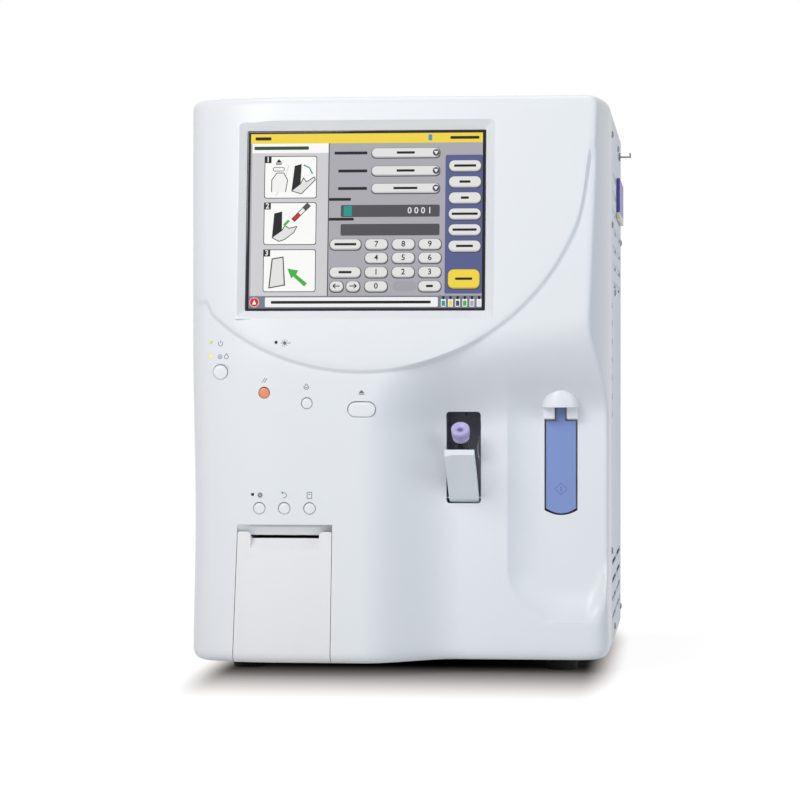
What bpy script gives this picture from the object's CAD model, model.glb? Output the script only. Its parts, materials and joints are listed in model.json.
"""Looks of a benchtop hematology analyzer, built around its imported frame.

Places on the body are given as (x, depth, z) in metres: x to the right seen from the front, depth
backwards from the foremost plane of the front, z over the bench. The front faces -Y.
"""
from __future__ import annotations

import json
import logging
import math
from dataclasses import dataclass
from enum import Enum
from typing import Sequence, Union

import bmesh
import bpy
from mathutils import Matrix, Vector

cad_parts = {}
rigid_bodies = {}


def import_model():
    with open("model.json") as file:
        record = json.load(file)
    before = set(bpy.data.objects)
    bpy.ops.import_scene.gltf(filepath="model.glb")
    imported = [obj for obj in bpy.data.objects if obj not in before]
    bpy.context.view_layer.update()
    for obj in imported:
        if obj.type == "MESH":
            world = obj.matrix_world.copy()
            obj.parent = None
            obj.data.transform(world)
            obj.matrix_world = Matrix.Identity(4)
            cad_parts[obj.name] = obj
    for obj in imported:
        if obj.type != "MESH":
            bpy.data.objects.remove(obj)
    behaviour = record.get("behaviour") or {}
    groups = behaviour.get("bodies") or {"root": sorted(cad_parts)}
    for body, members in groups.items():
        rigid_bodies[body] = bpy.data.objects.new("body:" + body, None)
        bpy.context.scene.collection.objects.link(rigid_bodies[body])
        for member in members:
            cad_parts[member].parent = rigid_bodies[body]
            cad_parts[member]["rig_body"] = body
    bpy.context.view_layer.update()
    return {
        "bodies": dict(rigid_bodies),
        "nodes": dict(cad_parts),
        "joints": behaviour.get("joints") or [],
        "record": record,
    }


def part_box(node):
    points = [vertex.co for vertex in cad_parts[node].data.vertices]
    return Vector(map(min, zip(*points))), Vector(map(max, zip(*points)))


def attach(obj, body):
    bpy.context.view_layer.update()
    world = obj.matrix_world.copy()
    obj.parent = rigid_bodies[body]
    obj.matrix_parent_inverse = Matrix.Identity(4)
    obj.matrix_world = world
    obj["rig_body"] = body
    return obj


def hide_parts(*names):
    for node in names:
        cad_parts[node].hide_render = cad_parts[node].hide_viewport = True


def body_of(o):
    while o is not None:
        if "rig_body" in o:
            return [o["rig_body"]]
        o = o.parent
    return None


LOG = logging.getLogger("analyzer")

# Middle of the body and foremost plane in the frame's axes, middle of the lever, radius that stands for
# a point on an axis, and sharpest angle in degrees that stays unrounded
BODY_X = -0.006
FRONT_Y = -0.2395
LEVER_X = 0.147
SPIKE = 0.00001
SHARP = 32.0
UP = Vector((0, 0, 1))
BACK = Vector((0, 1, 0))

Colour = tuple[float, float, float]
Flat = tuple[float, float]
Place = tuple[float, float, float]
Grain = tuple[float, ...]
Number = Union[float, "Value"]


class Side(Enum):
    """A side of the body, seen from the front."""

    LEFT = -1
    RIGHT = 1


class Operation(Enum):
    """What a helper solid does to a piece."""

    CUT = "DIFFERENCE"
    JOIN = "UNION"


def at(x: float, depth: float, z: float) -> Vector:
    """Return a place on the body in the frame's own axes."""
    return Vector((BODY_X + x, FRONT_Y + depth, z))


def srgb(red: int, green: int, blue: int) -> Colour:
    """Turn a display colour into a linear one.

    Args:
        red: Display value of 0 to 255.
        green: The same for green.
        blue: The same for blue.

    Returns:
        The linear colour.
    """
    def one(value: int) -> float:
        """Turn one display value into a linear one."""
        share = value / 255
        return share / 12.92 if share <= 0.04045 else ((share + 0.055) / 1.055) ** 2.4
    return one(red), one(green), one(blue)


def scaled(colour: Colour, share: float, lift: float = 0.0) -> Colour:
    """Make a colour darker or lighter by a share and a lift, and never brighter than white."""
    return tuple(min(part * share + lift, 1.0) for part in colour)


def ease(share: float) -> float:
    """Ease a share from 0 to 1."""
    share = min(max(share, 0.0), 1.0)
    return share * share * (3 - 2 * share)


def circle(radius: float, sides: int) -> list[Flat]:
    """Points round a circle."""
    return [(radius * math.cos(math.tau * step / sides), radius * math.sin(math.tau * step / sides))
            for step in range(sides)]


# Shader graphs


class Value:
    """One number in a node tree, with the usual arithmetic."""

    def __init__(self, graph: "Nodes", socket: bpy.types.NodeSocket) -> None:
        """Keep the tree and the socket that carries the number."""
        self.graph = graph
        self.socket = socket

    def other(self, output: Union[int, str]) -> "Value":
        """Return another output of the same node."""
        return Value(self.graph, self.socket.node.outputs[output])

    def maths(self, operation: str, *others: Number) -> "Value":
        """Add a Math node with this value first, and the others after it."""
        inputs = {index + 1: other for index, other in enumerate(others)}
        return self.graph.add("ShaderNodeMath", {"operation": operation}, {0: self, **inputs})

    def __add__(self, other: Number) -> "Value":
        """Add."""
        return self.maths("ADD", other)

    def __sub__(self, other: Number) -> "Value":
        """Subtract."""
        return self.maths("SUBTRACT", other)

    def __rsub__(self, other: Number) -> "Value":
        """Subtract from a number."""
        return (self * -1.0) + other

    def __mul__(self, other: Number) -> "Value":
        """Multiply."""
        return self.maths("MULTIPLY", other)

    def __truediv__(self, other: Number) -> "Value":
        """Divide."""
        return self.maths("DIVIDE", other)

    __radd__ = __add__
    __rmul__ = __mul__

    def clamped(self) -> "Value":
        """Hold the value between 0 and 1."""
        return self.graph.add("ShaderNodeClamp", {}, {0: self})


class Nodes:
    """A node tree, with one method that makes any node."""

    def __init__(self, tree: bpy.types.NodeTree) -> None:
        """Keep the tree."""
        self.tree = tree

    def feed(self, socket: bpy.types.NodeSocket, value: object) -> None:
        """Give a socket a link, if the value is one, or a plain value.

        Args:
            socket: The input to feed.
            value: A Value, a number, a colour, a vector or another plain value.
        """
        if isinstance(value, Value):
            self.tree.links.new(value.socket, socket)
        elif isinstance(value, tuple) and socket.type == "RGBA":
            socket.default_value = (*value, 1.0)
        else:
            socket.default_value = value

    def add(self, kind: str, settings: dict[str, object], inputs: dict[object, object],
            output: Union[int, str] = 0) -> Value:
        """Add any node.

        Args:
            kind: The node's type name.
            settings: Attributes, set first.
            inputs: Values or links by socket name or number.
            output: Which output to return.

        Returns:
            The chosen output.
        """
        node = self.tree.nodes.new(kind)
        for key, setting in settings.items():
            setattr(node, key, setting)
        for key, value in inputs.items():
            self.feed(node.inputs[key], value)
        return Value(self, node.outputs[output])

    def looked_at(self) -> Value:
        """Tell rays that look at a surface, straight, mirrored or through glass, from light.

        Returns:
            1 for such rays, else 0.
        """
        path = self.add("ShaderNodeLightPath", {}, {}, "Is Camera Ray")
        found = path
        for name in ("Is Glossy Ray", "Is Transmission Ray"):
            found = found.maths("MAXIMUM", path.other(name))
        return found


class Graph(Nodes):
    """The node graph of one material, around its Principled shader."""

    def __init__(self, name: str) -> None:
        """Start a material.

        Args:
            name: Its name.
        """
        self.material = bpy.data.materials.new(name)
        self.material.use_nodes = True
        super().__init__(self.material.node_tree)
        self.shader = self.tree.nodes["Principled BSDF"]
        self.output = self.tree.nodes["Material Output"]

    def place(self) -> Value:
        """Object coordinates."""
        return self.add("ShaderNodeTexCoord", {}, {}, "Object")

    def noise(self, scale: float, detail: float = 2.0, upright: float = 1.0) -> Value:
        """Noise over the piece.

        Args:
            scale: Cells per metre.
            detail: Octaves.
            upright: Scale of the Z axis, for stretched cells.

        Returns:
            The noise factor.
        """
        where = self.add("ShaderNodeMapping", {}, {"Vector": self.place(), "Scale": (1.0, 1.0, upright)})
        return self.add("ShaderNodeTexNoise", {}, {"Vector": where, "Scale": scale, "Detail": detail})

    def mixed(self, share: Number, first: object, second: object, blend: str = "MIX") -> Value:
        """Mix two colours by a share."""
        return self.add("ShaderNodeMix", {"data_type": "RGBA", "blend_type": blend},
                        {0: share, 6: first, 7: second}, 2)

    def bump(self, height: Value, strength: float, distance: float, edge: float = 0.0) -> Value:
        """Turn a height into a normal.

        Args:
            height: The height.
            strength: Share of the effect.
            distance: Metres that a height of 1 stands for.
            edge: Radius of softened edges, or 0.

        Returns:
            The normal.
        """
        inputs: dict[object, object] = {"Height": height, "Strength": strength, "Distance": distance}
        if edge:
            inputs["Normal"] = self.add("ShaderNodeBevel", {"samples": 4}, {"Radius": edge})
        return self.add("ShaderNodeBump", {}, inputs)

    def finish(self, **values: object) -> bpy.types.Material:
        """Feed the shader's inputs.

        Args:
            values: Inputs by name, with underscores for spaces.

        Returns:
            The finished material.
        """
        for key, value in values.items():
            self.feed(self.shader.inputs[key.replace("_", " ")], value)
        return self.material


# Finishes


@dataclass(frozen=True)
class Coat:
    """A finish whose colour, gloss and relief follow noise of a scale, an octave count and a Z scale.

    Gloss and relief follow the colour's noise where they have none of their own.
    """

    name: str
    colour: Colour
    roughness: float = 0.36
    edge: float = 0.0
    dark: float = 0.98
    light: float = 1.02
    lift: float = 0.0
    clouds: Grain = (9.0, 3.0, 0.35)
    gloss: Grain = ()
    swing: float = 0.10
    relief: Grain = ()
    strength: float = 0.55
    depth: float = 0.00002
    glow: float = 0.0
    shader: tuple[tuple[str, float], ...] = ()

    def make(self) -> bpy.types.Material:
        """Build the material.

        Returns:
            The material.
        """
        graph = Graph(self.name)
        tint = graph.mixed(graph.noise(*self.clouds), scaled(self.colour, self.dark),
                           scaled(self.colour, self.light, self.lift))
        rough = (graph.noise(*(self.gloss or self.clouds)) - 0.5) * self.swing + self.roughness
        values: dict[str, object] = {"Base_Color": tint, "Roughness": rough.clamped(), **dict(self.shader)}
        if self.depth:
            relief = graph.noise(*(self.relief or self.clouds))
            values["Normal"] = graph.bump(relief, self.strength, self.depth, self.edge)
        if self.glow:
            values.update(Emission_Color=tint, Emission_Strength=self.glow)
        return graph.finish(**values)


@dataclass(frozen=True)
class Moulded(Coat):
    """Injection-moulded plastic: fine grain, faint flow marks and slightly uneven gloss."""

    gloss: Grain = (420.0, 4.0)
    relief: Grain = (2600.0, 2.0)


@dataclass(frozen=True)
class Powder(Coat):
    """Powder coat over sheet steel: orange-peel ripple."""

    roughness: float = 0.42
    dark: float = 0.975
    light: float = 1.0
    clouds: Grain = (6.0, 3.0)
    gloss: Grain = (300.0, 3.0)
    swing: float = 0.12
    relief: Grain = (900.0, 2.0)
    strength: float = 0.5
    depth: float = 0.00006


@dataclass(frozen=True)
class Metal(Coat):
    """Bare or plated metal with fine streaks."""

    dark: float = 0.86
    light: float = 1.0
    clouds: Grain = (1400.0, 3.0, 0.03)
    swing: float = 0.22
    strength: float = 0.25
    depth: float = 0.00001
    shader: tuple[tuple[str, float], ...] = (("Metallic", 1.0),)


@dataclass(frozen=True)
class Rubber(Coat):
    """Matt rubber with a dusty grain."""

    roughness: float = 0.745
    dark: float = 1.0
    light: float = 1.8
    lift: float = 0.004
    clouds: Grain = (260.0, 5.0)
    swing: float = 0.25
    relief: Grain = (1500.0, 2.0)
    strength: float = 0.6
    depth: float = 0.00008


@dataclass(frozen=True)
class Clear(Coat):
    """Clear glass with faint moulding waves."""

    roughness: float = 0.055
    dark: float = 1.0
    light: float = 0.94
    clouds: Grain = (160.0, 2.0)
    swing: float = 0.05
    strength: float = 0.2
    depth: float = 0.00005
    shader: tuple[tuple[str, float], ...] = (("Transmission_Weight", 1.0), ("IOR", 1.46))


@dataclass(frozen=True)
class Glow(Coat):
    """A lit light pipe with a bright core."""

    roughness: float = 0.25
    dark: float = 0.75
    light: float = 1.0
    clouds: Grain = (700.0, 1.0)
    depth: float = 0.0
    glow: float = 0.75


@dataclass(frozen=True)
class Ink(Coat):
    """Screen-printed marking on plastic."""

    roughness: float = 0.45
    dark: float = 1.0
    light: float = 1.25
    lift: float = 0.01
    clouds: Grain = (3000.0, 1.0)
    depth: float = 0.0


@dataclass(frozen=True)
class Thermal(Coat):
    """Thermal paper, wound in layers."""

    roughness: float = 0.75
    dark: float = 0.93
    light: float = 1.0
    clouds: Grain = (1200.0, 4.0)
    strength: float = 0.4
    depth: float = 0.00004


@dataclass(frozen=True)
class Picture:
    """The lit picture of the screen: each shape's own tint, over the panel's fine grid of cells."""

    name: str
    attribute: str = "tint"
    strength: float = 0.78
    cell: float = 0.00026
    grid_tint: Colour = (0.80, 0.82, 0.86)
    dimmed: Colour = (0.20, 0.20, 0.20)

    def make(self) -> bpy.types.Material:
        """Build the material.

        Returns:
            The material.
        """
        graph = Graph(self.name)
        tint = graph.add("ShaderNodeAttribute", {"attribute_name": self.attribute}, {}, "Color")
        grid = graph.add("ShaderNodeTexWave", {"bands_direction": "X"},
                         {"Vector": graph.place(), "Scale": 1 / self.cell / 6.0}, "Fac")
        faint = graph.mixed(grid * 0.05, tint, self.grid_tint, "MULTIPLY")
        return graph.finish(
            Base_Color=graph.mixed(1.0, faint, self.dimmed, "MULTIPLY"),
            Roughness=(grid * 0.03 + 0.42).clamped(), Specular_IOR_Level=0.15,
            Emission_Color=faint, Emission_Strength=self.strength,
        )


@dataclass(frozen=True)
class Circuit:
    """Solder mask with copper runs showing through and pale component marks."""

    name: str
    colour: Colour = (0.012, 0.14, 0.06)
    mark: Colour = (0.55, 0.56, 0.52)

    def make(self) -> bpy.types.Material:
        """Build the material.

        Returns:
            The material.
        """
        graph = Graph(self.name)
        runs = graph.add("ShaderNodeTexBrick", {"offset": 0.37, "squash": 1.6},
                         {"Vector": graph.place(), "Scale": 90.0, "Mortar Size": 0.035}, "Fac")
        lines = graph.mixed(runs, self.colour, scaled(self.colour, 2.1))
        spots = graph.add("ShaderNodeTexVoronoi", {}, {"Vector": graph.place(), "Scale": 220.0}, "Distance")
        dots = (0.12 - spots) * 30.0
        return graph.finish(
            Base_Color=graph.mixed(dots.clamped(), lines, self.mark),
            Roughness=(runs * 0.15 + 0.30).clamped(),
            Normal=graph.bump(runs, 0.4, 0.00003),
        )


class Finishes:
    """All finishes of the analyzer, by the record's slot name or the piece's own."""

    def __init__(self) -> None:
        """Build every material."""
        made = (
            Moulded("cover_white", srgb(238, 240, 243), 0.34, edge=0.0007),
            Moulded("door_white", srgb(244, 242, 243), edge=0.0004),
            Moulded("flap_white", srgb(237, 242, 246), edge=0.0004),
            Powder("panel_white", srgb(228, 232, 238), edge=0.0004),
            Moulded("key_white", srgb(240, 241, 243), 0.30, edge=0.0003),
            Moulded("key_orange", srgb(244, 150, 110), 0.30, dark=0.96, light=1.04),
            Glow("lamp_green", srgb(165, 205, 60)),
            Glow("lamp_yellow", srgb(236, 226, 50)),
            Moulded("lamp_dark", srgb(30, 30, 34), 0.3),
            Moulded("screen_glass", srgb(40, 38, 52), 0.10, depth=0.000004),
            Moulded("dark_plastic", srgb(62, 62, 72), 0.42, edge=0.0003),
            Moulded("unit_grey", srgb(150, 153, 158), 0.5),
            Moulded("liner_grey", srgb(150, 150, 166), 0.34),
            Moulded("lever_violet", srgb(128, 150, 206), 0.33, edge=0.0004, dark=0.95, light=1.05),
            Moulded("flap_violet", srgb(86, 78, 176), edge=0.0003),
            Moulded("lip_ivory", srgb(238, 228, 205), 0.42, edge=0.0003),
            Clear("tube_glass", (0.93, 0.96, 0.97)),
            Moulded("cap_lavender", srgb(194, 187, 231), 0.40, dark=0.95, light=1.05),
            Metal("sheet_steel", (0.60, 0.61, 0.63), 0.34),
            Metal("bright_steel", (0.66, 0.67, 0.69), 0.20),
            Metal("screw_steel", (0.24, 0.24, 0.26), 0.34),
            Circuit("board_green"),
            Rubber("rubber", (0.012, 0.012, 0.013)),
            Thermal("paper", srgb(240, 240, 238)),
            Picture("screen_picture"),
            Ink("ink_grey", srgb(106, 110, 120)),
            Ink("ink_violet", srgb(78, 88, 158)),
            Moulded("gap_violet", srgb(50, 24, 82), 0.5),
            Moulded("hose_clear", srgb(205, 214, 214), 0.2),
        )
        self.by_name = {finish.name: finish.make() for finish in made}

    def __getitem__(self, name: str) -> bpy.types.Material:
        """Return the finish of that name."""
        return self.by_name[name]


# Meshes


def rounded_rectangle(x0: float, x1: float, z0: float, z1: float, radius: float,
                      steps: int = 6) -> list[Flat]:
    """Outline of a rectangle with round corners.

    Args:
        x0: Left.
        x1: Right.
        z0: Bottom.
        z1: Top.
        radius: Corner radius.
        steps: Steps in each corner.

    Returns:
        Points, counter-clockwise.
    """
    points = []
    centres = ((x1 - radius, z1 - radius), (x0 + radius, z1 - radius),
               (x0 + radius, z0 + radius), (x1 - radius, z0 + radius))
    for quarter, (cx, cz) in enumerate(centres):
        for step in range(steps + 1):
            angle = math.pi / 2 * (quarter + step / steps)
            points.append((cx + radius * math.cos(angle), cz + radius * math.sin(angle)))
    pairs = zip(points, points[-1:] + points)
    return [point for point, last in pairs if math.dist(point, last) > radius / 1000]


def link(name: str, data: bpy.types.ID) -> bpy.types.Object:
    """Make an object and link it to the scene.

    Args:
        name: Its name.
        data: Its mesh, curve, light or camera.

    Returns:
        The object.
    """
    made = bpy.data.objects.new(name, data)
    bpy.context.collection.objects.link(made)
    return made


def baked(made: bpy.types.Object) -> bpy.types.Mesh:
    """Work an object's modifiers into a mesh, and take them off the object.

    Args:
        made: The object.

    Returns:
        The mesh.
    """
    graph = bpy.context.evaluated_depsgraph_get()
    data = bpy.data.meshes.new_from_object(made.evaluated_get(graph))
    made.modifiers.clear()
    return data


class Shape:
    """A mesh under construction. Each method that adds to it returns it."""

    def __init__(self) -> None:
        """Start with nothing."""
        self.mesh = bmesh.new()

    def rings(self, rings: Sequence[Sequence[Vector]], caps: bool = True, closed: bool = True,
              turn_back: bool = False) -> "Shape":
        """Skin a row of rings.

        Args:
            rings: Rings of equally many points.
            caps: Whether the first and last ring are filled.
            closed: Whether each ring joins up.
            turn_back: Whether the last ring joins the first.

        Returns:
            This shape.
        """
        made = [[self.mesh.verts.new(point) for point in ring] for ring in rings]
        if caps:
            self.mesh.faces.new(made[0][::-1])
            self.mesh.faces.new(made[-1])
        pairs = list(zip(made, made[1:]))
        if turn_back:
            pairs.append((made[-1], made[0]))
        count = len(made[0])
        for lower, upper in pairs:
            for step in range(count if closed else count - 1):
                after = (step + 1) % count
                self.mesh.faces.new((lower[step], lower[after], upper[after], upper[step]))
        return self

    def sheet(self, rows: Sequence[Sequence[Vector]]) -> "Shape":
        """Add an open sheet between rows of points."""
        return self.rings(rows, caps=False, closed=False)

    def box(self, x0: float, x1: float, d0: float, d1: float, z0: float, z1: float) -> "Shape":
        """Add a box from body places."""
        corners = ((x0, d0), (x1, d0), (x1, d1), (x0, d1))
        return self.rings([[at(x, d, z) for x, d in corners] for z in (z0, z1)])

    def rod(self, start: Vector, end: Vector, radius: float, sides: int = 32) -> "Shape":
        """Add a round rod between two places."""
        along = end - start
        return self.turned([(radius, 0.0), (radius, along.length)], start, along, sides)

    def turned(self, profile: Sequence[Flat], foot: Vector, along: Vector, sides: int = 32,
               hollow: bool = False) -> "Shape":
        """Spin a profile of (radius, height) round an axis.

        Args:
            profile: Stations, from one end to the other.
            foot: Where height is 0.
            along: Direction of the axis.
            sides: Steps round.
            hollow: Whether the profile closes on itself, as a ring with a hole.

        Returns:
            This shape.
        """
        turn = along.to_track_quat("Z", "Y").to_matrix()
        rings = [[foot + turn @ Vector((x, y, height)) for x, y in circle(radius, sides)]
                 for radius, height in profile]
        return self.rings(rings, caps=not hollow, turn_back=hollow)

    def prism(self, outline: Sequence[Flat], start: float, end: float) -> "Shape":
        """Extrude an outline of (x, z) points from one depth to another."""
        return self.rings([[at(x, depth, z) for x, z in outline] for depth in (start, end)])

    def lofted(self, x: float, z: float, radius: float, half_length: float,
               stations: Sequence[Flat], steps: int = 10) -> "Shape":
        """Add a round or pill-shaped plug along depth.

        Args:
            x: Middle.
            z: Middle.
            radius: Radius of the ends.
            half_length: Half of the straight part.
            stations: (offset inwards, depth) from front to back.
            steps: Steps in each quarter.

        Returns:
            This shape.
        """
        sides = (1, -1, -1, 1)
        return self.rings([[at(x + sides[index // steps] * half_length + cx, depth, z + cz)
                            for index, (cx, cz) in enumerate(circle(radius - inset, 4 * steps))]
                           for inset, depth in stations])

    def tube(self, path: Sequence[Vector], radius: float, sides: int = 12) -> "Shape":
        """Sweep a circle along a path.

        Args:
            path: Points of the middle line.
            radius: Radius.
            sides: Steps round.

        Returns:
            This shape.
        """
        rings = []
        side = None
        for index, point in enumerate(path):
            before = path[max(index - 1, 0)]
            after = path[min(index + 1, len(path) - 1)]
            ahead = (after - before).normalized()
            if side is None:
                side = ahead.orthogonal().normalized()
            side = (side - ahead * side.dot(ahead)).normalized()
            over = ahead.cross(side)
            rings.append([point + side * x + over * y for x, y in circle(radius, sides)])
        return self.rings(rings)

    def loop(self, path: Sequence[Vector], radius: float) -> "Shape":
        """Sweep a circle round a closed flat path.

        Args:
            path: Points of the middle line, all in one plane round one centre.
            radius: Radius of the circle.

        Returns:
            This shape.
        """
        centre = sum(path, Vector()) / len(path)
        over = (path[0] - centre).cross(path[1] - centre).normalized()
        rings = [[point + (point - centre).normalized() * x + over * y for x, y in circle(radius, 8)]
                 for point in path]
        return self.rings(rings, caps=False, turn_back=True)

    def turn(self, matrix: Matrix) -> "Shape":
        """Move everything so far by a matrix."""
        bmesh.ops.transform(self.mesh, matrix=matrix, verts=self.mesh.verts)
        return self

    def to_object(self, name: str, merge: bool = True) -> bpy.types.Object:
        """Turn the shape into an object.

        Args:
            name: Its name.
            merge: Whether points in one place become one.

        Returns:
            The object, linked to the scene.
        """
        if merge:
            bmesh.ops.remove_doubles(self.mesh, verts=self.mesh.verts, dist=1e-6)
        bmesh.ops.recalc_face_normals(self.mesh, faces=self.mesh.faces)
        data = bpy.data.meshes.new(name)
        self.mesh.to_mesh(data)
        self.mesh.free()
        return link(name, data)


def smooth_by_angle(made: bpy.types.Object, degrees: float) -> None:
    """Shade smooth, but keep sharp edges.

    Args:
        made: The piece.
        degrees: Sharpest angle that is shaded smooth.
    """
    shape = bmesh.new()
    shape.from_mesh(made.data)
    limit = math.radians(degrees)
    for face in shape.faces:
        face.smooth = True
    for edge in shape.edges:
        edge.smooth = edge.is_manifold and edge.calc_face_angle(0.0) < limit
    shape.to_mesh(made.data)
    shape.free()


def cut(made: bpy.types.Object, helpers: Sequence[tuple[Operation, Shape]], solver: str = "EXACT") -> None:
    """Apply helper solids to a piece.

    Args:
        made: The piece.
        helpers: What each helper does, and its shape.
        solver: The Boolean solver.
    """
    for operation, shape in helpers:
        helper = shape.to_object("helper")
        step = made.modifiers.new("cut", "BOOLEAN")
        step.operation = operation.value
        step.object = helper
        step.solver = solver
        made.data = baked(made)
        bpy.data.objects.remove(helper)


def bevelled(made: bpy.types.Object, width: float, segments: int = 2) -> None:
    """Round a piece's edges with a live Bevel modifier.

    Args:
        made: The piece.
        width: Width of the rounding.
        segments: Its steps.
    """
    step = made.modifiers.new("edges", "BEVEL")
    step.width = width
    step.segments = segments
    step.limit_method = "ANGLE"
    step.angle_limit = math.radians(SHARP)
    step.harden_normals = True
    step.use_clamp_overlap = True


class Scatter(Nodes):
    """Geometry Nodes group that sets copies of a form on points, aimed along each point's directions."""

    INPUTS = (("Form", "NodeSocketObject"), ("Finish", "NodeSocketMaterial"),
              ("Turn", "NodeSocketFloat"), ("Seed", "NodeSocketInt"))

    def __init__(self) -> None:
        """Build the node group."""
        super().__init__(bpy.data.node_groups.new("scatter_on_points", "GeometryNodeTree"))
        face = self.tree.interface
        face.new_socket("Geometry", in_out="INPUT", socket_type="NodeSocketGeometry")
        self.sockets = {name: face.new_socket(name, in_out="INPUT", socket_type=kind).identifier
                        for name, kind in self.INPUTS}
        face.new_socket("Geometry", in_out="OUTPUT", socket_type="NodeSocketGeometry")
        given = self.add("NodeGroupInput", {}, {}, "Geometry")
        form = self.add("GeometryNodeObjectInfo", {"transform_space": "ORIGINAL"},
                        {0: given.other("Form")}, "Geometry")
        aim, side = (self.add("GeometryNodeInputNamedAttribute", {"data_type": "FLOAT_VECTOR"},
                              {"Name": name}) for name in ("aim", "side"))
        upright = self.add("FunctionNodeAlignRotationToVector", {"axis": "Z"}, {"Vector": aim})
        rolled = self.add("FunctionNodeAlignRotationToVector", {"axis": "X", "pivot_axis": "Z"},
                          {"Rotation": upright, "Vector": side})
        chance = self.add("FunctionNodeRandomValue", {"data_type": "FLOAT"},
                          {2: 0.0, 3: given.other("Turn"), "Seed": given.other("Seed")}, 1)
        spin = self.add("FunctionNodeEulerToRotation", {},
                        {0: self.add("ShaderNodeCombineXYZ", {}, {2: chance})})
        final = self.add("FunctionNodeRotateRotation", {"rotation_space": "LOCAL"}, {0: rolled, 1: spin})
        placed = self.add("GeometryNodeInstanceOnPoints", {},
                          {"Points": given, "Instance": form, "Rotation": final})
        real = self.add("GeometryNodeRealizeInstances", {}, {0: placed})
        coated = self.add("GeometryNodeSetMaterial", {},
                          {"Geometry": real, "Material": given.other("Finish")})
        self.feed(self.tree.nodes.new("NodeGroupOutput").inputs[0], coated)

    def run(self, name: str, form: Shape, spots: Sequence[tuple[Vector, Vector, Vector]],
            finish: bpy.types.Material, turn: float = 0.0, seed: int = 3) -> bpy.types.Object:
        """Set copies of a form on spots and return them as one plain mesh.

        Args:
            name: Name of the result.
            form: What is repeated, round its own origin.
            spots: Place, direction of the form's Z and direction of its X.
            finish: Its material.
            turn: Largest random turn about Z, in radians.
            seed: Seed of the random turn.

        Returns:
            The object.
        """
        pattern = form.to_object("form")
        data = bpy.data.meshes.new(name)
        data.from_pydata([place for place, _, _ in spots], [], [])
        for key, index in (("aim", 1), ("side", 2)):
            layer = data.attributes.new(key, "FLOAT_VECTOR", "POINT")
            for spot, item in zip(spots, layer.data):
                item.vector = spot[index]
        holder = link(name, data)
        step = holder.modifiers.new("scatter", "NODES")
        step.node_group = self.tree
        values = {"Form": pattern, "Finish": finish, "Turn": turn, "Seed": seed}
        for key, value in values.items():
            step[self.sockets[key]] = value
        holder.data = baked(holder)
        for layer in [item for item in holder.data.attributes if item.name in ("aim", "side")]:
            holder.data.attributes.remove(layer)
        bpy.data.objects.remove(pattern)
        return holder


class Workshop:
    """Makes the pieces and hangs them on the frame's bodies."""

    RECORD_SLOTS = {"liner_grey": "dark_plastic", "screw_steel": "bright_steel", "flap_white": "door_white"}

    def __init__(self, frame: dict, finishes: Finishes) -> None:
        """Keep what the pieces need.

        Args:
            frame: The loaded frame.
            finishes: All finishes.
        """
        self.frame = frame
        self.finishes = finishes
        self.scatter = Scatter()
        self.made: list[str] = []

    def settle(self, made: bpy.types.Object, finish: str, body: str = "housing", node: str = "") -> None:
        """Paint a piece and hang it on its body.

        Args:
            made: The piece.
            finish: Name of its finish.
            body: Body that it moves with.
            node: CAD node that it stands for, if any.
        """
        made.data.materials.clear()
        made.data.materials.append(self.finishes[finish])
        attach(made, body)
        if node:
            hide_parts(node)
        self.made.append(made.name)

    def piece(self, name: str, shape: Shape, finish: str, angle: float = 35.0, bevel: float = 0.0) -> None:
        """Make a piece of the housing from a shape.

        Args:
            name: The piece's name.
            shape: Its shape.
            finish: Name of its finish.
            angle: Sharpest angle that is shaded smooth.
            bevel: Width of rounded edges, or 0.
        """
        made = shape.to_object(name)
        smooth_by_angle(made, angle)
        if bevel:
            bevelled(made, bevel)
        self.settle(made, finish)

    def form(self, node: str, shape: Shape, finish: str, angle: float = 35.0) -> None:
        """Make the piece that stands in for a CAD node.

        Args:
            node: The CAD node.
            shape: The piece's shape.
            finish: Name of its finish.
            angle: Sharpest angle that is shaded smooth.
        """
        made = shape.to_object(node + "_form")
        smooth_by_angle(made, angle)
        self.settle(made, finish, self.body_of(node), node)

    def copies(self, name: str, form: Shape, spots: Sequence[tuple[Vector, Vector, Vector]], finish: str,
               angle: float, turn: float = 0.0, seed: int = 3) -> None:
        """Make a piece of the housing from copies of a form.

        Args:
            name: The piece's name.
            form: What is repeated.
            spots: Place and two directions of each copy.
            finish: Name of its finish.
            angle: Sharpest angle that is shaded smooth.
            turn: Largest random turn.
            seed: Seed of the random turn.
        """
        made = self.scatter.run(name, form, spots, self.finishes[finish], turn, seed)
        smooth_by_angle(made, angle)
        self.settle(made, finish)

    def refined(self, node: str, finish: str, bevel: float, segments: int = 2,
                helpers: Sequence[tuple[Operation, Shape]] = ()) -> None:
        """Stand in for a CAD node with a merged copy whose edges are rounded.

        Args:
            node: The CAD node.
            finish: Name of the finish.
            bevel: Width of the rounding.
            segments: Steps of the rounding.
            helpers: Helper solids to apply first.
        """
        shape = Shape()
        shape.mesh.from_mesh(self.frame["nodes"][node].data)
        bmesh.ops.remove_doubles(shape.mesh, verts=shape.mesh.verts, dist=2e-6)
        bmesh.ops.dissolve_limit(shape.mesh, angle_limit=math.radians(1), verts=shape.mesh.verts,
                                 edges=shape.mesh.edges)
        made = shape.to_object(node + "_form", merge=False)
        cut(made, helpers)
        smooth_by_angle(made, SHARP)
        bevelled(made, bevel, segments)
        self.settle(made, finish, self.body_of(node), node)

    def body_of(self, node: str) -> str:
        """Name of the body that carries a CAD node."""
        return body_of(self.frame["nodes"][node])[0]

    def paint(self, node: str, finish: str) -> None:
        """Give a CAD node's own mesh a finish.

        Args:
            node: The CAD node.
            finish: Name of the finish.
        """
        data = self.frame["nodes"][node].data
        data.materials.clear()
        data.materials.append(self.finishes[finish])


# Sub-assemblies


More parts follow.
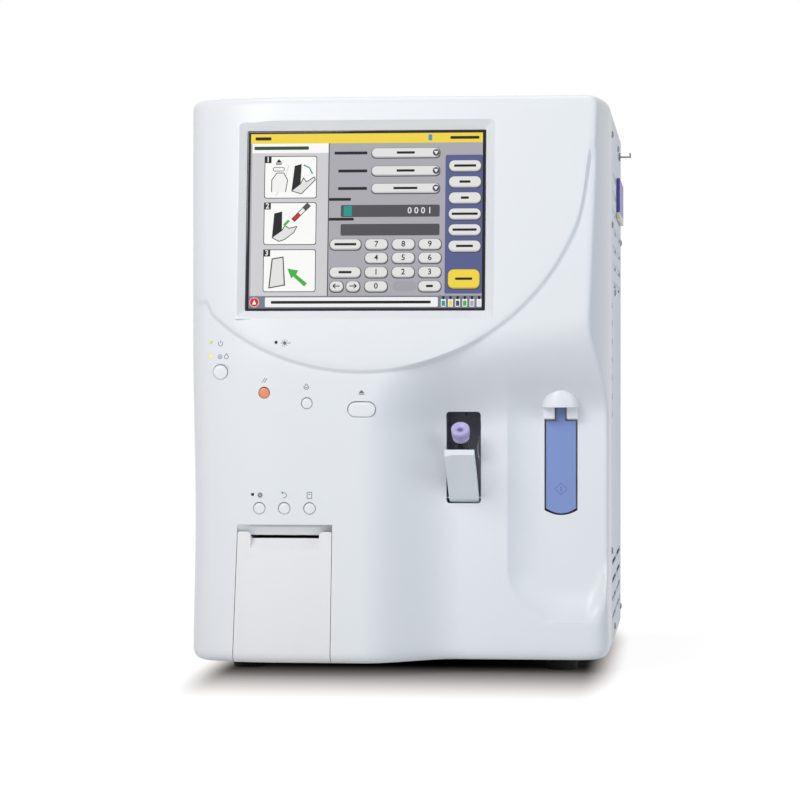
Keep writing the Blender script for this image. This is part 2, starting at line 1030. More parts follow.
@dataclass
class Assembly:
    """A sub-assembly, which makes its pieces in a workshop."""

    shop: Workshop


@dataclass(frozen=True)
class Face:
    """Formula of the cover's outer face: its depth and side walls at any place."""

    half_width: float = 0.191
    top: float = 0.5215
    bottom: float = 0.013
    cover_depth: float = 0.132
    top_edge: float = 0.009
    bottom_edge: float = 0.010
    lean_slope: float = 0.115
    lean_start: float = 0.270
    lean_blend: float = 0.040
    curl_start: float = 0.105
    curl_radius: float = 0.158
    recess_depth: float = 0.055
    recess_left: float = 0.0135
    recess_round: float = 0.040
    recess_slope: float = 0.043
    ceiling: float = 0.262
    ceiling_rise: float = 0.12
    scoop_depth: float = 0.014
    scoop_left: float = 0.099
    scoop_bottom: float = 0.047
    scoop_round: float = 0.050
    scoop_slope: float = 0.032
    scoop_top: float = 0.225
    field_x: float = -0.028
    field_z: float = 0.480
    field_radius: float = 0.2082
    field_proud: float = 0.004
    field_slope: float = 0.0045
    front_taper: float = 0.018
    waist: float = 0.003
    waist_height: float = 0.300

    def lean(self, z: float) -> float:
        """How far the upper face lies back."""
        above = max(z - self.lean_start, 0.0)
        return self.lean_slope * (math.hypot(above, self.lean_blend) - self.lean_blend)

    def curl(self, x: float) -> float:
        """How far the left end rolls back."""
        past = min(max(-x - self.curl_start, 0.0), self.curl_radius)
        return self.curl_radius - math.sqrt(self.curl_radius**2 - past**2)

    def inside(self, first: float, second: float, radius: float) -> float:
        """Distance inside two walls that meet in a rounded corner.

        Args:
            first: Distance from one wall.
            second: Distance from the other.
            radius: Radius of the corner.

        Returns:
            The distance, negative outside.
        """
        if first < radius and second < radius:
            return radius - math.hypot(radius - first, radius - second)
        return min(first, second)

    def recess(self, x: float, z: float) -> float:
        """Depth of the S-shaped recess and of the scoop in it.

        Args:
            x: Place across.
            z: Height.

        Returns:
            How far both lie behind the face.
        """
        ceiling = self.ceiling + self.ceiling_rise * (x - 0.040)
        within = self.inside(x - self.recess_left, ceiling - z, self.recess_round)
        deep = self.recess_depth * ease((within / self.recess_slope + 1) / 2)
        bottom = self.scoop_bottom + max(x - 0.170, 0.0) ** 2 / 0.0122
        within = self.inside(x - self.scoop_left, z - bottom, self.scoop_round)
        share = min(max(within / self.scoop_slope, 0.0), 1.0)
        fade = 1 - ease((z - self.scoop_top) / 0.050)
        return deep + self.scoop_depth * (1 - (1 - share) ** 2) * fade

    def body(self, x: float, z: float) -> float:
        """Depth outside the screen field."""
        return self.lean(z) + self.curl(x) + self.recess(x, z)

    def field(self, x: float, z: float) -> float:
        """Depth of the raised round screen field."""
        return self.lean(z) + self.curl(x) - self.field_proud

    def edge(self, x: float, radius: float) -> float:
        """Height of the field's round edge at x."""
        return self.field_z - math.sqrt(radius**2 - min(abs(x - self.field_x), radius) ** 2)

    def depth(self, x: float, z: float) -> float:
        """Depth of whichever face is seen at a place."""
        rise = ease((z - self.edge(x, self.field_radius)) / self.field_slope)
        return self.body(x, z) * (1 - rise) + self.field(x, z) * rise

    def wall(self, side: Side, depth: float, z: float) -> float:
        """x of a side wall.

        Args:
            side: Which wall.
            depth: How far back.
            z: Height.

        Returns:
            The wall's x.
        """
        share = max((self.cover_depth - depth) / self.cover_depth, 0.0)
        half = self.half_width - self.front_taper * share**3.6
        if side is Side.LEFT:
            height = min(max(z / self.waist_height, 0.0), 1.0)
            half -= self.waist * math.sin(math.pi * height) ** 2 * share
        return side.value * half

    def corner(self, side: Side, z: float) -> float:
        """Plan radius of the front's upright corner.

        Args:
            side: Which corner.
            z: Height.

        Returns:
            The radius.
        """
        if side is Side.LEFT:
            return 0.012
        return 0.0045 + 0.0155 * ease((0.075 - z) / 0.031)


@dataclass
class Cover(Assembly):
    """The white front shell, worked out from the face formula at a fine pitch."""

    face: Face
    keys: "Keys"
    screen: "Screen"
    wall: float = 0.003
    step: float = 0.0026
    left_corner: float = -0.176
    right_corner: float = 0.1795
    first_column: float = -0.164
    last_column: float = 0.166
    band_outer: float = 0.20825
    band_inner: float = 0.20375
    hood_half: float = 0.0165
    hood_proud: float = 0.0125
    hood_depth: float = 0.0585
    hood_z: float = 0.242
    hood_rise: float = 0.0188
    port: tuple[float, ...] = (0.044, 0.075, 0.155, 0.238)
    port_round: float = 0.003
    bay: tuple[Flat, ...] = ((-0.020, 0.1380), (0.0040, 0.1371), (0.0112, 0.1277), (0.032, 0.1277),
                             (0.029, 0.121), (0.029, -0.007), (-0.020, -0.007))

    def columns(self) -> list[float]:
        """Choose the columns, closer together where the front bends.

        Returns:
            Their x values.
        """
        found = [self.first_column]
        while found[-1] < self.last_column - self.step / 2:
            x = found[-1]
            bend = -0.012 < x < 0.060 or 0.095 < x < 0.135 or x > 0.160
            found.append(min(x + self.step * (0.75 if bend else 1.2), self.last_column))
        return found

    def heights(self, x: float) -> list[Flat]:
        """Rows at one place across the front.

        Args:
            x: Place across.

        Returns:
            Heights, each with its share of the screen field's depth.
        """
        low = self.face.bottom + self.face.bottom_edge
        high = self.face.top - self.face.top_edge
        outer = self.face.edge(x, self.band_outer)
        inner = max(self.face.edge(x, self.band_inner), outer + 0.0045)
        inner = min(inner, outer + 0.030)
        level = min(0.262, outer - 0.006)
        counts = ((low, 0.140, 34), (0.140, 0.200, 20), (0.200, level, 26), (level, outer, 40))
        rows = [(low, 0.0)]
        for start, end, count in counts:
            rows += [(start + (end - start) * step / count, 0) for step in range(1, count + 1)]
        rows += [(outer + (inner - outer) * step / 6, ease(step / 6)) for step in range(1, 7)]
        rows += [(inner + (high - inner) * step / 44, 1.0) for step in range(1, 45)]
        return rows

    def mixed(self, x: float, z: float, share: float) -> float:
        """Depth between body and field."""
        return self.face.body(x, z) * (1 - share) + self.face.field(x, z) * share

    def end(self, side: Side, z: float, share: float) -> list[Place]:
        """Corner and side wall of one row.

        Args:
            side: Which end of the row.
            z: The row's height.
            share: Its share of the screen field's depth.

        Returns:
            Places from the face back.
        """
        edge = self.face.wall(side, 0.0, z)
        for _ in range(6):
            edge = self.face.wall(side, self.mixed(edge, z, share), z)
        radius = self.face.corner(side, z)
        start_x = edge - side.value * radius
        start = Vector((start_x, self.mixed(start_x, z, share)))
        middle = Vector((edge, self.mixed(edge, z, share)))
        back = middle.y + radius
        last = Vector((self.face.wall(side, back, z), back))
        found = []
        for step in range(9):
            part = step / 8
            found.append(start.lerp(middle, part).lerp(middle.lerp(last, part), part))
        for part in (0.12, 0.25, 0.40, 0.55, 0.70, 0.85, 1.0):
            depth = back + (self.face.cover_depth - back) * part
            found.append(Vector((self.face.wall(side, depth, z), depth)))
        return [(place.x, place.y, z) for place in found]

    def between(self, last: float, corner: float, start: float, index: int) -> list[Place]:
        """Places of one row between the last column and a corner.

        Args:
            last: x of the last column.
            corner: x at which the corner's heights are taken.
            start: x where the corner starts.
            index: Number of the row.

        Returns:
            The places, from the column to the corner.
        """
        found = []
        for step in range(1, 6):
            share = step / 6
            z, rise = self.heights(last + (corner - last) * share)[index]
            x = last + (start - last) * share
            found.append((x, self.mixed(x, z, rise), z))
        return found

    def rows(self) -> list[list[Place]]:
        """Rows of the outer face from bottom to top.

        Returns:
            Places of each row from left to right.
        """
        columns = self.columns()
        tall = {x: self.heights(x) for x in columns}
        left, right = self.heights(self.left_corner), self.heights(self.right_corner)
        found = []
        for index in range(len(left)):
            left_end = self.end(Side.LEFT, *left[index])
            right_end = self.end(Side.RIGHT, *right[index])
            row = left_end[::-1]
            row += self.between(columns[0], self.left_corner, left_end[0][0], index)[::-1]
            for x in columns:
                z, share = tall[x][index]
                row.append((x, self.mixed(x, z, share), z))
            row += self.between(columns[-1], self.right_corner, right_end[0][0], index)
            found.append(row + right_end)
        return found

    def drawn_in(self, row: Sequence[Place], offset: float, z: float) -> list[Place]:
        """Draw a row towards the parting line's middle, for a round edge.

        Args:
            row: The row.
            offset: How far its sides move in.
            z: Its new height.

        Returns:
            The new row.
        """
        deep = self.face.cover_depth
        return [(x * (1 - offset / self.face.half_width), deep - (deep - depth) * (1 - offset / deep), z)
                for x, depth, _ in row]

    def skin(self) -> Shape:
        """The outer face with its round lower and upper edges, closed over top and bottom.

        Returns:
            The skin, still without a wall.
        """
        rows = self.rows()
        low, high = [], []
        for step in range(1, 7):
            angle = math.pi / 2 * step / 6
            up, back = 1 - math.sin(angle), 1 - math.cos(angle)
            low.append(self.drawn_in(rows[0], self.face.bottom_edge * back,
                                     self.face.bottom + self.face.bottom_edge * up))
            high.append(self.drawn_in(rows[-1], self.face.top_edge * back,
                                      self.face.top - self.face.top_edge * up))
        return Shape().rings([[at(*place) for place in row] for row in low[::-1] + rows + high], closed=False)

    def hood(self) -> Shape:
        """Rounded hood over the nozzle.

        Returns:
            The hood.
        """
        rings = []
        for level in range(27):
            angle = math.pi / 2 * level / 26.5
            swell, deep = self.hood_half * math.cos(angle), self.hood_proud * math.cos(angle) ** 0.2
            z = self.hood_z + self.hood_rise * math.sin(angle)
            ring = []
            for step in range(33):
                angle = math.pi * step / 32
                ring.append(at(LEVER_X - swell * math.cos(angle),
                               self.hood_depth - deep * math.sin(angle) ** 0.8, z))
            ring += [at(LEVER_X + side * swell, self.hood_depth + 0.003, z) for side in (1, -1)]
            rings.append(ring)
        return Shape().rings(rings)

    def openings(self) -> list[tuple[Operation, Shape]]:
        """Helper solids for what joins the shell and for all its bores and openings.

        Returns:
            What each helper does, and its shape, in the order of use.
        """
        cheeks = Shape().box(0.1313, 0.1627, 0.0600, 0.0704, 0.2320, 0.2435)
        surround = self.screen.frame(((0.008, 0.0015, 0.0), (0.008, 0.009, 0.0)), 1)
        notch_block = self.bay_prism(((0.0054, 0.1385), (0.0054, 0.1277), (0.0184, 0.1277),
                                      (0.0184, 0.1385)), -0.0025)
        joins = [self.hood(), cheeks, surround, notch_block]
        pocket = self.screen.frame(((0.0280, -0.020, 0.011), (0.0, 0.008, 0.0012), (0.0, 0.032, 0.0012)), 6)
        bores = [spot.bore() for spot in self.keys.spots()]
        port = Shape().prism(rounded_rectangle(*self.port, self.port_round), -0.01, 0.112)
        lever = Shape().prism(lever_outline(0.0015, 0.0013, 0.2525), 0.0585, 0.090)
        under = Shape().box(-0.179, 0.179, 0.079, 0.160, 0.0, 0.0175)
        nozzle = Shape().rod(at(LEVER_X, 0.0545, 0.232), at(LEVER_X, 0.0545, 0.310), 0.002, 16)
        cuts = [pocket, *bores, self.bay_prism(self.bay), port, lever, under, nozzle]
        return [(Operation.JOIN, shape) for shape in joins] + [(Operation.CUT, shape) for shape in cuts]

    def bay_x(self, z: float, side: Side, inset: float) -> float:
        """Place across of the printer bay's slanting side.

        Args:
            z: Height.
            side: Which side.
            inset: How far it is moved in.

        Returns:
            The side's x.
        """
        share = (z - 0.013) / 0.123
        low, high = (-0.1453, -0.1403) if side is Side.LEFT else (-0.0560, -0.0542)
        return low + (high - low) * share - side.value * inset

    def bay_prism(self, outline: Sequence[Flat], inset: float = 0.0) -> Shape:
        """Extrude a (depth, z) outline between the bay's slanting sides."""
        return Shape().rings([[at(self.bay_x(z, side, inset), depth, z) for depth, z in outline]
                              for side in Side])

    def build(self) -> None:
        """Make the shell."""
        made = self.skin().to_object("cover_shell")
        solid = made.modifiers.new("wall", "SOLIDIFY")
        solid.thickness = self.wall
        solid.offset = -1
        made.data = baked(made)
        cut(made, self.openings(), "MANIFOLD")
        smooth_by_angle(made, SHARP)
        self.shop.settle(made, "cover_white", node="front_cover")


def lever_outline(gap: float, neck_gap: float, neck_top: float) -> list[Flat]:
    """Outline of the lever with its neck, widened by gaps.

    Args:
        gap: Gap round the paddle.
        neck_gap: Gap beside the neck.
        neck_top: Upper end.

    Returns:
        Points as (x, z).
    """
    half, neck, shoulder = 0.0135 + gap, 0.0042 + neck_gap, 0.2295 + gap
    low, sag, steps = 0.1455 - gap, 0.0045, 16
    points = [(LEVER_X + neck, neck_top), (LEVER_X - neck, neck_top), (LEVER_X - neck, shoulder),
              (LEVER_X - half, shoulder)]
    for step in range(steps + 1):
        share = 2 * step / steps - 1
        points.append((LEVER_X + half * share, low + sag * share * share))
    return points + [(LEVER_X + half, shoulder), (LEVER_X + neck, shoulder)]


@dataclass(frozen=True)
class Spot:
    """One key or lamp on the front."""

    face: Face
    node: str
    x: float
    z: float
    radius: float
    half_length: float
    finish: str

    def bore(self) -> Shape:
        """Helper solid for the bore in the cover, with a small lead-in.

        Returns:
            The helper solid.
        """
        lead = self.face.depth(self.x, self.z)
        gap = 0.0001 if self.radius > 0.003 else 0.0
        return Shape().lofted(self.x, self.z, self.radius + gap, self.half_length,
                              ((-0.0058, lead - 0.0058), (-0.0002, lead - 0.0002), (0.0, lead + 0.0003),
                               (0.0, lead + 0.024)))

    def cap(self) -> Shape:
        """Domed cap with its flange and stem.

        Returns:
            The cap.
        """
        front = self.face.depth(self.x, self.z) - 0.0004
        flange = 0.0168
        play = 0.00035
        stem = self.radius - 0.0022
        stations = [(self.radius * 0.999, front), (self.radius * 0.60, front),
                    (0.0011 + play, front + 0.00012), (0.0005 + play, front + 0.0003),
                    (0.00015 + play, front + 0.0007), (play, front + 0.0013), (play, flange),
                    (-0.0010, flange), (-0.0010, flange + 0.0014),
                    (stem, flange + 0.0014), (stem, flange + 0.0026)]
        return Shape().lofted(self.x, self.z - 0.00016, self.radius, self.half_length, stations, 12)

    def dome(self) -> Shape:
        """Light pipe with a domed end.

        Returns:
            The light pipe.
        """
        front = self.face.depth(self.x, self.z)
        inset, height = 0.0002, self.radius * 0.35
        stations = [(self.radius - (self.radius - inset) * math.sin(angle),
                     front + height * (1 - math.cos(angle)))
                    for angle in (math.pi / 2 * step / 6 for step in range(7))]
        stations[0] = (self.radius * 0.999, front)
        return Shape().lofted(self.x, self.z, self.radius, 0.0, stations + [(inset, 0.0200)], 8)


@dataclass
class Keys(Assembly):
    """Keys, lamps and the grey symbols printed beside them."""

    INK_PROUD = 0.00004
    PLACES = (
        ("power_key", -0.1565, 0.2740, 0.0068, 0.0, "key_white"),
        ("error_reset_key", -0.1155, 0.2554, 0.0051, 0.0, "key_orange"),
        ("round_function_key", -0.0770, 0.2460, 0.0051, 0.0, "key_white"),
        ("pill_function_key", -0.0278, 0.2406, 0.0070, 0.0056, "key_white"),
        ("printer_key_left", -0.1200, 0.1520, 0.0054, 0.0, "key_white"),
        ("printer_key_middle", -0.0974, 0.1520, 0.0054, 0.0, "key_white"),
        ("printer_key_right", -0.0746, 0.1520, 0.0054, 0.0, "key_white"),
        ("power_lamp", -0.1655, 0.3005, 0.0014, 0.0, "lamp_green"),
        ("ready_lamp", -0.1655, 0.2885, 0.0014, 0.0, "lamp_yellow"),
        ("screen_lamp", -0.1043, 0.3004, 0.0014, 0.0, "lamp_dark"),
        ("printer_lamp", -0.1262, 0.1643, 0.0014, 0.0, "lamp_dark"),
    )

    face: Face

    def spots(self) -> list[Spot]:
        """All keys and lamps."""
        return [Spot(self.face, *place) for place in self.PLACES]

    def build(self) -> None:
        """Make the caps, light pipes and symbols."""
        for spot in self.spots():
            shape = spot.dome() if "lamp" in spot.node else spot.cap()
            self.shop.form(spot.node, shape, spot.finish, 40)
        shape = Shape()
        for points, width in self.symbols():
            self.stroke(shape, points, width)
        self.shop.piece("printed_symbols", shape, "ink_grey", angle=80)

    def stroke(self, shape: Shape, points: Sequence[Flat], width: float) -> None:
        """Lay a printed line on the face.

        Args:
            shape: Where it goes.
            points: Its places as (x, z).
            width: Its width.
        """
        for (x0, z0), (x1, z1) in zip(points, points[1:]):
            length = max(math.hypot(x1 - x0, z1 - z0), 1e-6)
            over_x, over_z = (z0 - z1) / length * width / 2, (x1 - x0) / length * width / 2
            ends = []
            for x, z in ((x0, z0), (x1, z1)):
                for sign in (1, -1):
                    px, pz = x + sign * over_x, z + sign * over_z
                    ends.append(at(px, self.face.depth(px, pz) - self.INK_PROUD, pz))
            shape.sheet([ends[:2], ends[2:]])

    def arc(self, x: float, z: float, radius: float, start: float = 0, end: float = 360,
            steps: int = 16) -> list[Flat]:
        """Places along an arc.

        Args:
            x: Middle.
            z: Middle.
            radius: Radius.
            start: Where it starts, in degrees from +X.
            end: Where it ends.
            steps: Steps along it.

        Returns:
            The places.
        """
        angles = [math.radians(start + (end - start) * step / steps) for step in range(steps + 1)]
        return [(x + radius * math.cos(angle), z + radius * math.sin(angle)) for angle in angles]

    def rays(self, x: float, z: float, inner: float, outer: float) -> list[list[Flat]]:
        """Eight rays round a place, from one radius to another."""
        return [[(x + cx, z + cz) for cx, cz in pair] for pair in zip(circle(inner, 8), circle(outer, 8))]

    def symbols(self) -> list[tuple[list[Flat], float]]:
        """Draw all symbols.

        Returns:
            Lines, each with its width.
        """
        thin, top = 0.0006, 0.1637
        lines = [
            (self.arc(-0.1563, 0.2995, 0.0021, 130, 410), thin),
            ([(-0.1563, 0.2999), (-0.1563, 0.3024)], thin),
            (self.arc(-0.1568, 0.2877, 0.0019), thin),
            (self.arc(-0.1506, 0.2877, 0.0019), thin),
            ([(-0.1512, 0.2905), (-0.1500, 0.2905)], thin),
            (self.arc(-0.1568, 0.2877, 0.0006, steps=8), thin),
            (self.arc(-0.0966, 0.2998, 0.0010), 0.0020),
            *((ray, thin) for ray in self.rays(-0.0966, 0.2998, 0.0024, 0.0033)),
            ([(-0.0932, 0.2998), (-0.0910, 0.2998)], thin),
            ([(-0.1173, 0.2645), (-0.1147, 0.2685)], thin),
            ([(-0.1153, 0.2645), (-0.1127, 0.2685)], thin),
            ([(-0.0788, 0.2586), (-0.0760, 0.2586), (-0.0750, 0.2608), (-0.0762, 0.2612),
              (-0.0766, 0.2626), (-0.0774, 0.2634), (-0.0782, 0.2626), (-0.0786, 0.2612),
              (-0.0798, 0.2608), (-0.0788, 0.2586)], thin),
            ([(-0.0786, 0.2600), (-0.0762, 0.2600)], thin),
            ([(-0.0303, 0.2540), (-0.0253, 0.2540)], 0.0007),
            (self.arc(-0.1192, top, 0.0013), 0.0014),
            *((ray, 0.0008) for ray in self.rays(-0.1192, top, 0.0017, 0.0026)),
            ([(-0.0995, top + 0.0022), (-0.0975, top + 0.0022)]
             + self.arc(-0.0975, top, 0.0022, 90, -90) + [(-0.0985, top - 0.0022)], thin),
            ([(-0.0984, top + 0.0032), (-0.0998, top + 0.0022), (-0.0984, top + 0.0012)], thin),
            ([(-0.0767, top - 0.0028), (-0.0767, top + 0.0028), (-0.0725, top + 0.0028),
              (-0.0725, top - 0.0028), (-0.0767, top - 0.0028)], thin),
            ([(-0.0758, top + 0.0010), (-0.0734, top + 0.0010)], thin),
        ]
        for step in range(6):
            share = step / 6
            half, z = 0.0025 * (1 - share), 0.2552 + 0.0028 * share
            lines.append(([(-0.0278 - half, z), (-0.0278 + half, z)], 0.00055))
        return lines


@dataclass
class Screen(Assembly):
    """Touch screen: glass in its sloped pocket, and the lit picture behind it."""

    face: Face
    x: float = -0.026
    z: float = 0.41085
    width: float = 0.216
    height: float = 0.1637
    glass_front: float = 0.0093
    columns: int = 240
    rows: int = 180
    layer: float = 0.00003
    lowest: float = 0.00002

    def place(self, x: float, y: float, z: float) -> Vector:
        """Place in the leaning screen's own axes.

        Args:
            x: Metres to the right of the picture's middle.
            y: Metres into the face.
            z: Metres up the lean from the picture's middle.

        Returns:
            The place in the frame's axes.
        """
        low, high = self.z - self.height / 2, self.z + self.height / 2
        front, back = self.face.lean(low), self.face.lean(high)
        lean = math.atan2(back - front, high - low)
        origin = at(self.x, (front + back) / 2 - self.face.field_proud, self.z)
        return origin + Matrix.Rotation(-lean, 3, "X") @ Vector((x, y, z))

    def spot(self, px: float, py: float, layer: float) -> Vector:
        """Place on the picture, in its own steps.

        Args:
            px: Steps to the right of the left edge.
            py: Steps down from the upper edge.
            layer: How many layers it lies over the lowest one.

        Returns:
            The place in the frame's axes.
        """
        x = (px / self.columns - 0.5) * self.width
        z = (0.5 - py / self.rows) * self.height
        return self.place(x, self.glass_front - self.layer * layer - self.lowest, z)

    def frame(self, stations: Sequence[Place], steps: int) -> Shape:
        """Loft a block round the picture.

        Args:
            stations: Distance outside the picture, depth in the face and corner radius of each ring.
            steps: Steps in each corner.

        Returns:
            The block.
        """
        rings = []
        for out, y, radius in stations:
            wide, tall = self.width / 2 + out, self.height / 2 + out
            outline = rounded_rectangle(-wide, wide, -tall, tall, radius, steps)
            rings.append([self.place(x, y, z) for x, z in outline])
        return Shape().rings(rings)

    def build(self) -> None:
        """Make the glass and the picture."""
        front = self.glass_front
        glass = self.frame(((0.0008, front, 0.002), (0.002, front + 0.0003, 0.002),
                            (0.002, front + 0.0015, 0.002)), 4)
        self.shop.form("touch_glass", glass, "screen_glass")
        Pictures(self).build()


class Pictures:
    """Draws the screen's picture as tinted flat shapes, without words."""

    INK = srgb(20, 20, 26)
    SNOW = srgb(244, 244, 242)
    SILVER = srgb(172, 170, 176)
    SHADE = srgb(78, 78, 84)
    AMBER = srgb(243, 214, 70)
    NAVY = srgb(88, 95, 142)
    SLATE = srgb(120, 124, 142)
    DUSK = srgb(74, 74, 86)
    TEAL = srgb(30, 150, 140)
    GREEN = srgb(60, 178, 60)
    RED = srgb(205, 40, 45)
    PEARL = srgb(228, 228, 226)
    LAYER = 0.12

    def __init__(self, screen: Screen) -> None:
        """Start an empty picture.

        Args:
            screen: The screen that shows it.
        """
        self.screen = screen
        self.mesh = bmesh.new()
        self.tint = self.mesh.loops.layers.float_color.new("tint")
        self.layer = 0.0
        self.origin = (0.0, 0.0)

    def shapes(self, points: Sequence[Flat], outlines: Sequence[Sequence[int]], colour: Colour) -> None:
        """Fill outlines on a new layer.

        Args:
            points: Places in picture steps from the origin.
            outlines: Numbers of the points round each outline.
            colour: Their colour.
        """
        self.layer += self.LAYER
        left, top = self.origin
        made = [self.mesh.verts.new(self.screen.spot(left + x, top + y, self.layer)) for x, y in points]
        for outline in outlines:
            face = self.mesh.faces.new([made[index] for index in outline])
            for loop in face.loops:
                loop[self.tint] = (*colour, 1.0)

    def shape(self, points: Sequence[Flat], colour: Colour) -> None:
        """Fill one outline."""
        self.shapes(points, [range(len(points))], colour)

    def outlined(self, points: Sequence[Flat], colour: Colour) -> None:
        """Fill one outline and draw a dark line round it."""
        self.shape(points, colour)
        self.line([*points, points[0]], 0.8, self.INK)

    def panel(self, x0: float, x1: float, y0: float, y1: float, colour: Colour,
              radius: float = 0.0) -> None:
        """Fill a rectangle.

        Args:
            x0: Left.
            x1: Right.
            y0: Top.
            y1: Bottom.
            colour: Its colour.
            radius: Radius of its corners, or 0.
        """
        if radius:
            self.shape(rounded_rectangle(x0, x1, y0, y1, radius, 5), colour)
        else:
            self.shape([(x0, y0), (x1, y0), (x1, y1), (x0, y1)], colour)

    def button(self, x: float, y: float, wide: float, tall: float, colour: Colour,
               label: float = 0.0) -> None:
        """Draw a raised button.

        Args:
            x: Middle.
            y: Middle.
            wide: Width.
            tall: Height.
            colour: Colour of its face.
            label: Width of a plain bar in place of a label.
        """
        radius = min(tall / 2 - 0.2, 5.5)
        self.panel(x - wide / 2 - 0.5, x + wide / 2 + 0.8, y - tall / 2 - 0.2, y + tall / 2 + 1.1, self.DUSK,
                   radius)
        self.panel(x - wide / 2, x + wide / 2, y - tall / 2, y + tall / 2, scaled(colour, 0.72), radius)
        self.panel(x - wide / 2 + 0.5, x + wide / 2 - 0.5, y - tall / 2 + 0.3, y + tall / 2 - 1.3, colour,
                   max(radius - 0.9, 0.5))
        if label:
            self.panel(x - label / 2, x + label / 2, y - 1.4, y + 1.0, self.INK, 0.6)

    def circle(self, x: float, y: float, radius: float, colour: Colour) -> None:
        """Fill a circle."""
        self.shape([(x + cx, y + cy) for cx, cy in circle(radius, 20)], colour)

    def line(self, points: Sequence[Flat], width: float, colour: Colour) -> None:
        """Draw a line.

        Args:
            points: Places that it goes through.
            width: Its width.
            colour: Its colour.
        """
        for (x0, y0), (x1, y1) in zip(points, points[1:]):
            length = math.hypot(x1 - x0, y1 - y0)
            ox, oy = (y0 - y1) / length * width / 2, (x1 - x0) / length * width / 2
            self.shape([(x0 + ox, y0 + oy), (x1 + ox, y1 + oy), (x1 - ox, y1 - oy), (x0 - ox, y0 - oy)],
                       colour)

    def digits(self, text: str, x: float, y: float, size: float, colour: Colour) -> None:
        """Write digits, centred.

        Args:
            text: The digits.
            x: Middle.
            y: Middle.
            size: Height.
            colour: Colour.
        """
        curve = bpy.data.curves.new("digits", "FONT")
        curve.body = text
        curve.align_x = "CENTER"
        curve.align_y = "CENTER"
        curve.resolution_u = 3
        curve.offset = 0.018
        holder = link("digits", curve)
        data = baked(holder)
        self.shapes([(x + vert.co.x * size, y - vert.co.y * size) for vert in data.vertices],
                    [list(polygon.vertices) for polygon in data.polygons], colour)
        bpy.data.objects.remove(holder)

    def guide(self) -> None:
        """Left panel with its three pictures."""
        self.panel(5, 82, 12.5, 170, srgb(208, 207, 210))
        self.panel(5, 82, 12.5, 22, srgb(250, 250, 248))
        self.panel(7, 62, 15.4, 18.8, srgb(38, 70, 44), 0.8)
        for number, top in enumerate((25, 71.5, 118.5)):
            self.panel(17.5, 70.5, top, top + 42.5, self.INK, 2.2)
            self.panel(18.2, 69.8, top + 0.7, top + 41.8, srgb(251, 251, 249), 2.0)
            self.panel(17.5, 24.5, top, top + 7, self.INK)
            self.digits(str(number + 1), 21, top + 3.6, 7.5, self.SNOW)
            self.origin = (45.0, top + 20.0)
            (self.opening_tube, self.placing_tube, self.closing_door)[number]()
            self.origin = (0.0, 0.0)

    def opening_tube(self) -> None:
        """Draw the first picture: a bottle and the open door."""
        self.shape([(0, 15), (3, -10), (10, -12), (9, 9)], self.INK)
        self.outlined([(0, 15), (9, 8), (12, 2), (15, 6), (23, 1), (24, 4), (16, 12), (10, 18)], self.PEARL)
        self.line([(12, -11), (18, -8), (21, -2)], 1.3, self.TEAL)
        self.line([(-3, -11), (-8, 8), (-16, 20)], 0.4, self.SILVER)
        bottle = [(-20, 16), (-20, 4), (-15, -3), (-8, -3), (-4, 4),
                  (-6, 16)]
        self.shape(bottle, self.SNOW)
        self.line(bottle, 0.8, self.INK)
        self.panel(-19, -7, -9, -4.6, self.INK, 2.0)
        self.panel(-18.4, -7.6, -8.4, -5.2, self.SNOW, 1.5)
        self.shape([(-16, -13.4), (-13, -17), (-10, -13.4)], self.INK)
        self.panel(-16, -10, -12.6, -11.4, self.INK)

    def placing_tube(self) -> None:
        """Draw the second picture: a tube on its way into the open door."""
        self.shape([(-19, 15), (-17, -9), (-9, -11), (-9, 8)], self.INK)
        foot = [(-19, 15), (-9, 8), (-6, 3), (-2, 6), (6, 4), (3, 10), (-6, 17), (-12, 19)]
        self.outlined(foot, self.PEARL)
        self.line([(-7, 3), (-2, -2)], 2.6, self.GREEN)
        self.line([(2, -2), (17, -17)], 4.6, self.INK)
        self.line([(2.6, -2.6), (13, -13)], 3.2, self.RED)
        self.line([(8.6, -8.6), (13.6, -13.6)], 3.2, self.SNOW)
        self.line([(13, -13), (18, -18)], 5.2, self.SHADE)

    def closing_door(self) -> None:
        """Draw the third picture: the closed door and an arrow to it."""
        self.shape([(-22, 19), (-19, -11), (-7, -13), (-5, 16)], self.SHADE)
        self.shape([(-20.6, 17.6), (-17.8, -10), (-8, -11.6), (-6.4, 15)], self.PEARL)
        self.shape([(17, 14), (6, 5), (8, 1), (-3, -1), (1, 9),
                    (3, 7), (14, 17)], self.GREEN)

